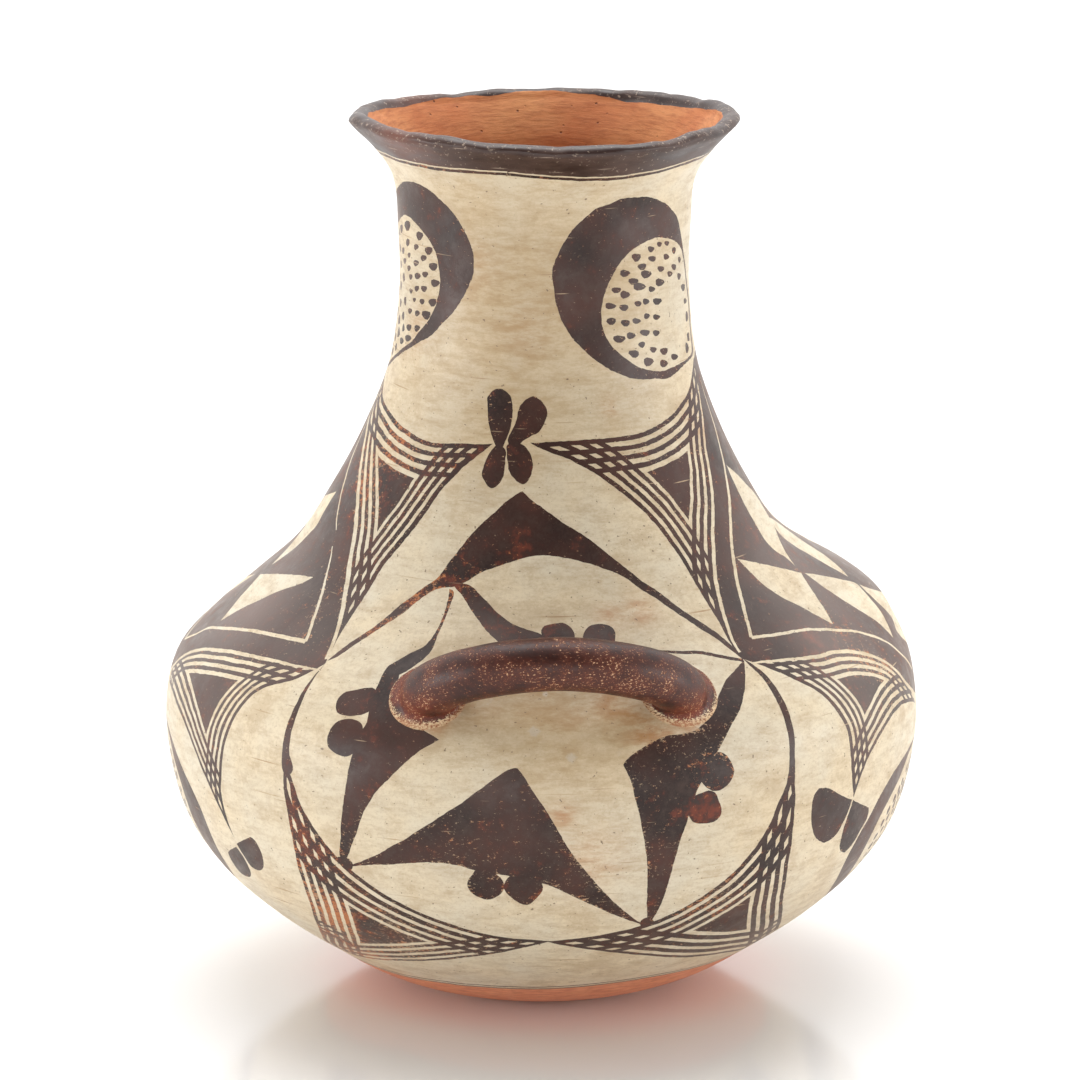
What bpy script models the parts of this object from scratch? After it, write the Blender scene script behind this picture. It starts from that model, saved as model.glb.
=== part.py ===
# A hand-built pottery vase: round belly, tall neck, flared mouth, and two arched
# grip handles on the shoulder, all one fired piece with a hollow inside.
# Metres, +Z up. The vase stands on z = 0 with its axis on Z, and its front is at -Y.

import math

import bmesh
import bpy
from mathutils import Vector

# Heights, one on top of the other: up to the widest line of the belly, from there up to
# the narrowest line of the neck, and from there up to the top of the lip
BELLY_HEIGHT = 0.1040
SHOULDER_AND_NECK = 0.1640
MOUTH_FLARE = 0.0620
NECK_HEIGHT = BELLY_HEIGHT + SHOULDER_AND_NECK
HEIGHT = NECK_HEIGHT + MOUTH_FLARE

# Outer radii of the outline at those heights and under the foot
BASE_RADIUS = 0.0440
BELLY_RADIUS = 0.1424
NECK_RADIUS = 0.0541
RIM_RADIUS = 0.0726

# Clay thicknesses
WALL = 0.0056
FLOOR = 0.0080
LIP_THICKNESS = 0.0072
LIP_CROWN = 0.0026

# The handles: two bars of clay, front and back, each bowed out and up from the line
# between its roots on the shoulder; an arch power of 2 would make the bow an ellipse
HANDLE_ABOVE_BELLY = 0.0340
HANDLE_SPAN = 0.0910
HANDLE_BOW = 0.0310
HANDLE_TILT = 35.5
HANDLE_BAR = 0.0192
HANDLE_ROOT = 0.0218
HANDLE_AZIMUTHS = {"front": 2.2, "back": 182.2}
HANDLE_ARCH = 1.8

# How far the hand-built form leaves the true turned one
NECK_LEAN = 0.0012
LEAN_ABOVE_BELLY = 0.0660
RIM_WAVES = ((1, 0.0005, -43.0), (2, 0.0012, -71.0), (3, 0.0004, -41.0))
RIM_WAVE_DEPTH = 0.0450
SWELL_OUT = 0.0125
SWELL_AZIMUTH = 108.0
SWELL_SPREAD = 26.0
SWELL_ABOVE_BELLY = 0.0430
SWELL_RISE = 0.0180

# How finely the curves are cut into facets
TURN_STEPS = 60
OUTER_PIECES = 2
INNER_PIECES = 1
LIP_POINTS = 6
HANDLE_POINTS = 15
HANDLE_SIDES = 16

# The outline between its main heights: share of the height, share of the radius
FOOT_TO_BELLY = (
    (0.030, 0.130), (0.087, 0.276), (0.183, 0.437),
    (0.317, 0.637), (0.481, 0.819), (0.673, 0.942),
)
BELLY_TO_NECK = (
    (0.122, 0.046), (0.207, 0.185), (0.293, 0.370), (0.390, 0.565),
    (0.512, 0.712), (0.659, 0.854), (0.817, 0.961),
)
NECK_TO_RIM = ((0.370, 0.030), (0.600, 0.080), (0.710, 0.200), (0.830, 0.480), (0.925, 0.760))

# Colour, roughness and metallic value of the cream slip that covers the clay
SLIP_COLOUR = (0.62, 0.52, 0.38, 1.0)
SLIP_ROUGHNESS = 0.45
SLIP_METALLIC = 0.0


# Scene and collections

def clear_scene():
    for item in list(bpy.data.objects):
        bpy.data.objects.remove(item, do_unlink=True)


def new_collection(name):
    collection = bpy.data.collections.new(name)
    bpy.context.scene.collection.children.link(collection)
    return collection


def new_object(name, data, collection):
    item = bpy.data.objects.new(name, data)
    collection.objects.link(item)
    return item


def slip_material():
    material = bpy.data.materials.new("cream_slip_on_terracotta")
    material.use_nodes = True
    shader = material.node_tree.nodes["Principled BSDF"]
    shader.inputs["Base Color"].default_value = SLIP_COLOUR
    shader.inputs["Roughness"].default_value = SLIP_ROUGHNESS
    shader.inputs["Metallic"].default_value = SLIP_METALLIC
    return material


# The turned outline

def between(low, high, shares):
    """Points between two (radius, height) ends, from shares of the way up and across."""
    return [
        (low[0] + across * (high[0] - low[0]), low[1] + up * (high[1] - low[1]))
        for up, across in shares
    ]


def smooth_through(points, pieces):
    """A smooth curve through the points, with each span cut into the given pieces."""
    path = [Vector(point) for point in points]
    knots = [0.0]
    for start, end in zip(path, path[1:]):
        knots.append(knots[-1] + math.sqrt((end - start).length))
    slopes = []
    for i in range(1, len(path) - 1):
        before = (path[i] - path[i - 1]) / (knots[i] - knots[i - 1])
        after = (path[i + 1] - path[i]) / (knots[i + 1] - knots[i])
        share = (knots[i] - knots[i - 1]) / (knots[i + 1] - knots[i - 1])
        slopes.append(before.lerp(after, share))
    first = 2 * (path[1] - path[0]) / (knots[1] - knots[0]) - slopes[0]
    last = 2 * (path[-1] - path[-2]) / (knots[-1] - knots[-2]) - slopes[-1]
    slopes = [first] + slopes + [last]

    curve = []
    for i in range(len(path) - 1):
        width = knots[i + 1] - knots[i]
        for k in range(pieces):
            t = k / pieces
            curve.append(
                (2 * t**3 - 3 * t**2 + 1) * path[i]
                + (t**3 - 2 * t**2 + t) * width * slopes[i]
                + (3 * t**2 - 2 * t**3) * path[i + 1]
                + (t**3 - t**2) * width * slopes[i + 1]
            )
    curve.append(path[-1])
    return curve


def outer_outline(pieces=OUTER_PIECES):
    """The outer side from the edge of the flat base up to the lip, as (radius, height)."""
    base = (BASE_RADIUS, 0.0)
    belly = (BELLY_RADIUS, BELLY_HEIGHT)
    neck = (NECK_RADIUS, NECK_HEIGHT)
    rim = (RIM_RADIUS, HEIGHT - LIP_CROWN)
    stations = [base] + between(base, belly, FOOT_TO_BELLY)
    stations += [belly] + between(belly, neck, BELLY_TO_NECK)
    stations += [neck] + between(neck, rim, NECK_TO_RIM) + [rim]
    return smooth_through(stations, pieces)


def outward_normals(outline):
    """The unit normal at each point of an outline that runs upwards on its outer side."""
    normals = []
    for i in range(len(outline)):
        along = outline[min(i + 1, len(outline) - 1)] - outline[max(i - 1, 0)]
        normals.append(Vector((along.y, -along.x)).normalized())
    return normals


def inset_outline(outline, depth, floor, top):
    """The outline moved into the clay, without what falls below the floor or above the top."""
    inset = []
    for point, normal in zip(outline, outward_normals(outline)):
        moved = point - depth * normal
        if moved.y > floor and point.y < top:
            inset.append(moved)
    return inset


def wall_profile():
    """The closed half section: inner floor, inner wall, rounded lip, outer wall, flat base."""
    outer = outer_outline()
    crown_base = HEIGHT - LIP_CROWN
    inner = inset_outline(outer_outline(INNER_PIECES), WALL, FLOOR, crown_base - WALL)
    centre = Vector((RIM_RADIUS - LIP_THICKNESS / 2, crown_base))
    lip = []
    for k in range(LIP_POINTS + 1):
        turn = math.pi * (1 - k / LIP_POINTS)
        lip.append(centre + Vector((LIP_THICKNESS / 2 * math.cos(turn), LIP_CROWN * math.sin(turn))))
    floor_edge = Vector((inner[0].x - WALL, FLOOR))
    section = [Vector((0.0, FLOOR)), floor_edge] + inner + lip
    section += list(reversed(outer[:-1])) + [Vector((0.0, 0.0))]
    return section


def radius_at(outline, height):
    """The radius of an upward outline at a height."""
    for low, high in zip(outline, outline[1:]):
        if low.y <= height <= high.y:
            return low.lerp(high, (height - low.y) / (high.y - low.y)).x
    raise ValueError("the outline doesn't reach that height")


def turned_object(name, section, collection):
    """A half section turned round Z with a Screw modifier."""
    mesh = bpy.data.meshes.new(name)
    points = [(point.x, 0.0, point.y) for point in section]
    mesh.from_pydata(points, [(i, i + 1) for i in range(len(points) - 1)], [])
    item = new_object(name, mesh, collection)
    screw = item.modifiers.new("turn", "SCREW")
    screw.axis = "Z"
    screw.steps = TURN_STEPS
    screw.render_steps = TURN_STEPS
    screw.use_merge_vertices = True
    screw.merge_threshold = 0.00001
    return item


# Handles

def handle_path(radius):
    """The bar's middle line beside the shoulder: across, out from the axis, and up."""
    half_span = HANDLE_SPAN / 2
    chord = math.sqrt(radius**2 - half_span**2)
    tilt = math.radians(HANDLE_TILT)
    path = [(-half_span, -HANDLE_ROOT - WALL)]
    for k in range(HANDLE_POINTS):
        turn = math.pi * (k / (HANDLE_POINTS - 1) - 0.5)
        across = math.copysign(half_span * abs(math.sin(turn)) ** (2 / HANDLE_ARCH), turn)
        path.append((across, HANDLE_BOW * abs(math.cos(turn)) ** (2 / HANDLE_ARCH)))
    path.append((half_span, -HANDLE_ROOT - WALL))
    return [(across, chord + bow * math.cos(tilt), bow * math.sin(tilt)) for across, bow in path]


def handle_object(name, azimuth, outline, collection):
    """One bar of clay, thicker towards its roots, with its ends deep inside the wall."""
    height = BELLY_HEIGHT + HANDLE_ABOVE_BELLY
    path = handle_path(radius_at(outline, height))
    curve = bpy.data.curves.new(name, "CURVE")
    curve.dimensions = "3D"
    curve.bevel_depth = HANDLE_BAR / 2
    curve.bevel_resolution = (HANDLE_SIDES - 4) // 2
    curve.use_fill_caps = True
    spline = curve.splines.new("POLY")
    spline.points.add(len(path) - 1)
    for point, (across, out, up) in zip(spline.points, path):
        point.co = (across, -out, height + up, 1.0)
        share = min(abs(across) / (HANDLE_SPAN / 2), 1.0)
        point.radius = 1.0 + (HANDLE_ROOT / HANDLE_BAR - 1.0) * share**2
    item = new_object(name, curve, collection)
    item.rotation_euler.z = math.radians(azimuth)
    return item


def as_mesh_object(item, collection):
    """The evaluated object as a closed mesh object in its place; the old one is removed."""
    bpy.context.view_layer.update()
    evaluated = item.evaluated_get(bpy.context.evaluated_depsgraph_get())
    mesh = bpy.data.meshes.new_from_object(evaluated)
    name, placing = item.name, item.matrix_world.copy()
    bpy.data.objects.remove(item, do_unlink=True)
    weld(mesh)
    made = new_object(name, mesh, collection)
    made.matrix_world = placing
    return made


def weld(mesh):
    edit = bmesh.new()
    edit.from_mesh(mesh)
    bmesh.ops.remove_doubles(edit, verts=edit.verts, dist=0.00001)
    bmesh.ops.recalc_face_normals(edit, faces=edit.faces)
    edit.to_mesh(mesh)
    edit.free()


def hide_as_helper(item):
    item.hide_render = True
    item.display_type = "WIRE"


def boolean(item, other, operation, collection):
    """The item cut by or joined to the other one, as a plain mesh."""
    step = item.modifiers.new(operation.lower(), "BOOLEAN")
    step.operation = operation
    step.solver = "EXACT"
    step.object = other
    return as_mesh_object(item, collection)


# The hand-built form

def smooth_step(value, low, high):
    share = min(max((value - low) / (high - low), 0.0), 1.0)
    return share * share * (3 - 2 * share)


def hand_built(point):
    """A point of the true turned form, moved as the maker's hands left it."""
    radius = math.hypot(point.x, point.y)
    azimuth = math.atan2(point.x, -point.y)
    round_from_swell = (math.degrees(azimuth) - SWELL_AZIMUTH + 180) % 360 - 180
    up_from_swell = point.z - BELLY_HEIGHT - SWELL_ABOVE_BELLY
    bulge = math.exp(-(round_from_swell / SWELL_SPREAD) ** 2 - (up_from_swell / SWELL_RISE) ** 2)
    grown = 1 + SWELL_OUT * bulge / max(radius, SWELL_OUT)
    lean = NECK_LEAN * smooth_step(point.z, BELLY_HEIGHT + LEAN_ABOVE_BELLY, NECK_HEIGHT)
    at_rim = smooth_step(point.z, HEIGHT - RIM_WAVE_DEPTH, HEIGHT)
    wave = sum(
        size * math.cos(count * (azimuth - math.radians(crest)))
        for count, size, crest in RIM_WAVES
    )
    return Vector((point.x * grown + lean, point.y * grown, point.z + at_rim * wave))


def shape_by_hand(item):
    for vertex in item.data.vertices:
        vertex.co = hand_built(vertex.co)


def build_vase(parts, helpers):
    """Wall and handles joined as one fired piece."""
    vase = as_mesh_object(turned_object("vase", wall_profile(), parts), parts)
    outline = outer_outline()
    core = inset_outline(outline, WALL / 2, FLOOR / 2, HEIGHT - LIP_CROWN - WALL)
    core = [Vector((0.0, core[-1].y))] + list(reversed(core)) + [Vector((0.0, core[0].y))]
    core_object = as_mesh_object(turned_object("handle_cutter", core, helpers), helpers)
    hide_as_helper(core_object)
    for side, azimuth in HANDLE_AZIMUTHS.items():
        bar = as_mesh_object(handle_object("handle_" + side, azimuth, outline, helpers), helpers)
        bar = boolean(bar, core_object, "DIFFERENCE", helpers)
        hide_as_helper(bar)
        vase = boolean(vase, bar, "UNION", parts)
    shape_by_hand(vase)
    vase.data.materials.clear()
    vase.data.materials.append(slip_material())
    vase.data.shade_smooth()
    vase.data.set_sharp_from_angle(angle=math.radians(40))
    return vase


def main():
    clear_scene()
    parts = new_collection("pottery_vase")
    helpers = new_collection("cutters")
    build_vase(parts, helpers)


main()
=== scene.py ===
import math
import random

import bmesh
import bpy
import numpy as np
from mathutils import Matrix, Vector, noise
from mathutils.bvhtree import BVHTree
from mathutils.geometry import barycentric_transform, delaunay_2d_cdt
from mathutils.kdtree import KDTree


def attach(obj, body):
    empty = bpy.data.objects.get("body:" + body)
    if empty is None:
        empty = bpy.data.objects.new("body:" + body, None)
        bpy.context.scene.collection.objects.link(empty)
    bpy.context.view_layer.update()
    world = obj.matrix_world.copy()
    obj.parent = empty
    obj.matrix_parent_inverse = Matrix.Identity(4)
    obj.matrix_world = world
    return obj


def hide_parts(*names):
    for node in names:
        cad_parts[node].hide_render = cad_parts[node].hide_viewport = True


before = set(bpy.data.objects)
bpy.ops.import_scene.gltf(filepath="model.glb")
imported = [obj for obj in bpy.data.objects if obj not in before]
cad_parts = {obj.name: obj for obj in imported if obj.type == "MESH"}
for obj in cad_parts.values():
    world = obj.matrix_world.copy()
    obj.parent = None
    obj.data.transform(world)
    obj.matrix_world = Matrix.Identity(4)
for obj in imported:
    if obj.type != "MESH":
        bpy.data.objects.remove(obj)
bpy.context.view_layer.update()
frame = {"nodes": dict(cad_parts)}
print("frame loaded:", ", ".join(frame["nodes"]))

# A hand-built pottery vase: cream slip polished over orange clay, a dark mineral paint
# pattern, a painted lip, a red slip foot and two worn grip handles. Metres, +Z up,
# the front handle is at -Y. Azimuths run from the front towards +X.

# Camera: the view of the photograph, whose frame is 1080 pixels wide and high

view = {
    "place": (-0.0004, -2.1, 0.6643),
    "lookDown": 13.311,        # degrees below level
    "lensMm": 190.33,
    "sensorMm": 36.0,
    "framePixels": 1080,
}


def newObject(name, data):
    item = bpy.data.objects.new(name, data)
    bpy.context.scene.collection.objects.link(item)
    return item


def makeCamera():
    data = bpy.data.cameras.new("camera")
    data.lens = view["lensMm"]
    data.sensor_width = view["sensorMm"]
    data.clip_end = 50
    camera = newObject("camera", data)
    camera.location = view["place"]
    camera.rotation_euler = (math.radians(90 - view["lookDown"]), 0, 0)
    bpy.context.scene.camera = camera


def rayThrough(pixel):
    # direction from the camera through a pixel of the photograph
    down = math.radians(view["lookDown"])
    half = view["framePixels"] / 2
    focus = view["lensMm"] / view["sensorMm"] * view["framePixels"]
    ahead = Vector((0, math.cos(down), -math.sin(down)))
    up = Vector((0, math.sin(down), math.cos(down)))
    across = Vector((1, 0, 0))
    return (ahead + across * (pixel[0] - half) / focus - up * (pixel[1] - half) / focus).normalized()


makeCamera()

# Nodes and colours


def hexColour(text):
    # sRGB hex to the linear values that Blender's sockets hold
    channels = [int(text[i:i + 2], 16) / 255 for i in (1, 3, 5)]
    return tuple(c / 12.92 if c <= 0.04045 else ((c + 0.055) / 1.055) ** 2.4 for c in channels) + (1.0,)


def addNode(tree, kind, inputs=None, **settings):
    # one node with its settings, and its inputs linked or set; a kind without the word
    # Node in it is a shader node
    node = tree.nodes.new(kind if "Node" in kind else "ShaderNode" + kind)
    for name, value in settings.items():
        setattr(node, name, value)
    for key, value in (inputs or {}).items():
        socket = node.inputs[key]
        if isinstance(value, bpy.types.NodeSocket):
            tree.links.new(value, socket)
        elif isinstance(value, str) and value.startswith("#"):
            socket.default_value = hexColour(value)
        else:
            socket.default_value = value
    return node.outputs


def newTree(name, inputs):
    # a Geometry Nodes tree and its input sockets, from their names and kinds
    tree = bpy.data.node_groups.new(name, "GeometryNodeTree")
    for label, kind in {"Geometry": "Geometry", **inputs}.items():
        tree.interface.new_socket(label, in_out="INPUT", socket_type="NodeSocket" + kind)
    tree.interface.new_socket("Geometry", in_out="OUTPUT", socket_type="NodeSocketGeometry")
    return tree, addNode(tree, "NodeGroupInput")


def madeBy(tree, item, values):
    # the plain mesh that a tree makes of an object, which is then removed
    made = item.modifiers.new(tree.name, "NODES")
    made.node_group = tree
    for socket in tree.interface.items_tree:
        if socket.in_out == "INPUT" and socket.name in values:
            made[socket.identifier] = values[socket.name]
    bpy.context.view_layer.update()
    evaluated = item.evaluated_get(bpy.context.evaluated_depsgraph_get())
    mesh = bpy.data.meshes.new_from_object(evaluated)
    item.modifiers.clear()
    bpy.data.objects.remove(item)
    return mesh


def lineThrough(name, places):
    # a curve of straight pieces
    data = bpy.data.curves.new(name, "CURVE")
    data.dimensions = "3D"
    spline = data.splines.new("POLY")
    spline.points.add(len(places) - 1)
    for point, place in zip(spline.points, places):
        point.co = (*place, 1.0)
    return newObject(name, data)


# The form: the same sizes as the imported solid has

form = {
    "bellyHeight": 0.1040,
    "shoulderAndNeck": 0.1640,
    "mouthFlare": 0.0620,
    "baseRadius": 0.0440,
    "bellyRadius": 0.1424,
    "neckRadius": 0.0541,
    "rimRadius": 0.0726,
    "wall": 0.0056,
    "floor": 0.0080,
    "lipThickness": 0.0072,
    "lipCrown": 0.0026,
    "footToBelly": (
        (0.030, 0.130), (0.087, 0.276), (0.183, 0.437),
        (0.317, 0.637), (0.481, 0.819), (0.673, 0.942),
    ),
    "bellyToNeck": (
        (0.122, 0.046), (0.207, 0.185), (0.293, 0.370), (0.390, 0.565),
        (0.512, 0.712), (0.659, 0.854), (0.817, 0.961),
    ),
    "neckToRim": ((0.370, 0.030), (0.600, 0.080), (0.710, 0.200), (0.830, 0.480), (0.925, 0.760)),
    "sectionStep": 0.0012,
    "pole": 0.0004,            # radius of the last ring round the axis
}
form["neckHeight"] = form["bellyHeight"] + form["shoulderAndNeck"]
form["height"] = form["neckHeight"] + form["mouthFlare"]

# What the maker's hands did to the true turned form: the inputs of the form tree
handWork = {
    "Neck lean": 0.0012,
    "Lean from": form["bellyHeight"] + 0.0660,
    "Lean to": form["neckHeight"],
    "Swell out": 0.0125,
    "Swell azimuth": math.radians(108.0),
    "Swell spread": math.radians(26.0),
    "Swell height": form["bellyHeight"] + 0.0430,
    "Swell rise": 0.0180,
    "Waves from": form["height"] - 0.0450,
    "Waves to": form["height"],
    "Unevenness": 0.00022,     # dents left by scraping and stone polishing
    "Dent size": 0.026,
    "Even below": 0.004,
    "Uneven above": 0.014,
    "Lip lumps": 0.0011,       # the pinched lip
    "Lip lump size": 0.017,
    "Lip lumps from": form["height"] - 0.0160,
}
rimWaves = ((1, 0.0005, -43.0), (2, 0.0012, -71.0), (3, 0.0004, -41.0))  # count, size, crest


def smoothThrough(points, step, closed=False):
    # centripetal curve through the points, cut into pieces no longer than the step
    path = [Vector(point) for point in points]
    if closed:
        path = [path[-1]] + path + [path[0], path[1]]
    knots = [0.0]
    for start, end in zip(path, path[1:]):
        knots.append(knots[-1] + math.sqrt(max((end - start).length, 1e-9)))
    slopes = []
    for i in range(1, len(path) - 1):
        before = (path[i] - path[i - 1]) / (knots[i] - knots[i - 1])
        after = (path[i + 1] - path[i]) / (knots[i + 1] - knots[i])
        share = (knots[i] - knots[i - 1]) / (knots[i + 1] - knots[i - 1])
        slopes.append(before.lerp(after, share))
    if len(path) == 2:
        slopes = [(path[1] - path[0]) / knots[1]] * 2
    else:
        first = 2 * (path[1] - path[0]) / (knots[1] - knots[0]) - slopes[0]
        last = 2 * (path[-1] - path[-2]) / (knots[-1] - knots[-2]) - slopes[-1]
        slopes = [first] + slopes + [last]
    spans = range(1, len(path) - 2) if closed else range(len(path) - 1)
    curve = []
    for i in spans:
        width = knots[i + 1] - knots[i]
        pieces = max(1, math.ceil((path[i + 1] - path[i]).length / step))
        for k in range(pieces):
            t = k / pieces
            curve.append(
                (2 * t**3 - 3 * t**2 + 1) * path[i]
                + (t**3 - 2 * t**2 + t) * width * slopes[i]
                + (3 * t**2 - 2 * t**3) * path[i + 1]
                + (t**3 - t**2) * width * slopes[i + 1]
            )
    if not closed:
        curve.append(path[-1])
    return np.array([tuple(point) for point in curve])


def between(low, high, shares):
    return [
        (low[0] + across * (high[0] - low[0]), low[1] + up * (high[1] - low[1]))
        for up, across in shares
    ]


def outerOutline():
    base = (form["baseRadius"], 0.0)
    belly = (form["bellyRadius"], form["bellyHeight"])
    neck = (form["neckRadius"], form["neckHeight"])
    rim = (form["rimRadius"], form["height"] - form["lipCrown"])
    stations = [base] + between(base, belly, form["footToBelly"])
    stations += [belly] + between(belly, neck, form["bellyToNeck"])
    stations += [neck] + between(neck, rim, form["neckToRim"]) + [rim]
    return smoothThrough(stations, form["sectionStep"])


def sideways(path):
    # unit vectors square to a path, on its left
    tangent = np.gradient(path, axis=0)
    tangent /= np.linalg.norm(tangent, axis=1)[:, None]
    return np.column_stack([-tangent[:, 1], tangent[:, 0]])


def innerOutline(outer):
    inner = outer + form["wall"] * sideways(outer)
    top = form["height"] - form["lipCrown"] - form["wall"]
    return inner[(inner[:, 1] > form["floor"]) & (outer[:, 1] < top)]


def makeSection():
    # half section from the middle of the base, up outside, over the lip, down to the floor
    outer = outerOutline()
    inner = innerOutline(outer)[::-1]
    middle = form["rimRadius"] - form["lipThickness"] / 2
    crownBase = form["height"] - form["lipCrown"]
    turns = np.linspace(0, math.pi, 17)[1:]
    lip = np.column_stack([
        middle + form["lipThickness"] / 2 * np.cos(turns),
        crownBase + form["lipCrown"] * np.sin(turns),
    ])
    pole = form["pole"]
    floorEdge = (inner[-1][0] - form["wall"], form["floor"])
    points = np.vstack([[(pole, 0.0)], outer, lip, inner, [floorEdge, (pole, form["floor"])]])
    steps = np.linalg.norm(np.diff(points, axis=0), axis=1)
    along = np.concatenate([[0.0], np.cumsum(steps)])
    # a finer copy with even steps, on which the flat plan's level is summed
    fine = np.linspace(0, along[-1], 6000)
    radius = np.interp(fine, along, points[:, 0])
    level = np.concatenate([[0.0], np.cumsum(np.diff(fine) / ((radius[1:] + radius[:-1]) / 2))])
    return {
        "points": points,
        "along": along,
        "fine": fine,
        "radius": radius,
        "height": np.interp(fine, along, points[:, 1]),
        "level": level,
        "foot": form["baseRadius"] - pole,
        "lip": form["baseRadius"] - pole + np.linalg.norm(np.diff(outer, axis=0), axis=1).sum(),
    }


section = makeSection()

# The painted plan: the whole surface laid flat, x = azimuth and y = level, both in
# hundredths of a radian. The level grows by step over radius, so shapes keep their angles.
planScale = 100.0
seam = math.pi * planScale


def levelAt(along):
    return np.interp(along, section["fine"], section["level"]) * planScale


def alongAt(level):
    return np.interp(np.asarray(level) / planScale, section["level"], section["fine"])


def radiusAt(level):
    return np.interp(np.asarray(level) / planScale, section["level"], section["radius"])


def mmPerUnit(level):
    return radiusAt(level) * 1000 / planScale


def levelAtHeight(height):
    # on the outer side
    outside = (section["fine"] >= section["foot"]) & (section["fine"] <= section["lip"])
    along = np.interp(height, section["height"][outside], section["fine"][outside])
    return levelAt(along)


def planToForm(plan):
    # plan points on the true turned form, for noise and distances
    radius = radiusAt(plan[:, 1])
    height = np.interp(alongAt(plan[:, 1]), section["fine"], section["height"])
    azimuth = plan[:, 0] / planScale
    return np.column_stack([radius * np.sin(azimuth), -radius * np.cos(azimuth), height])


# The form tree: Geometry Nodes that turn a flat sheet (x = azimuth, y = length along the
# section, z = height above the surface) into the hand-built vase


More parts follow.
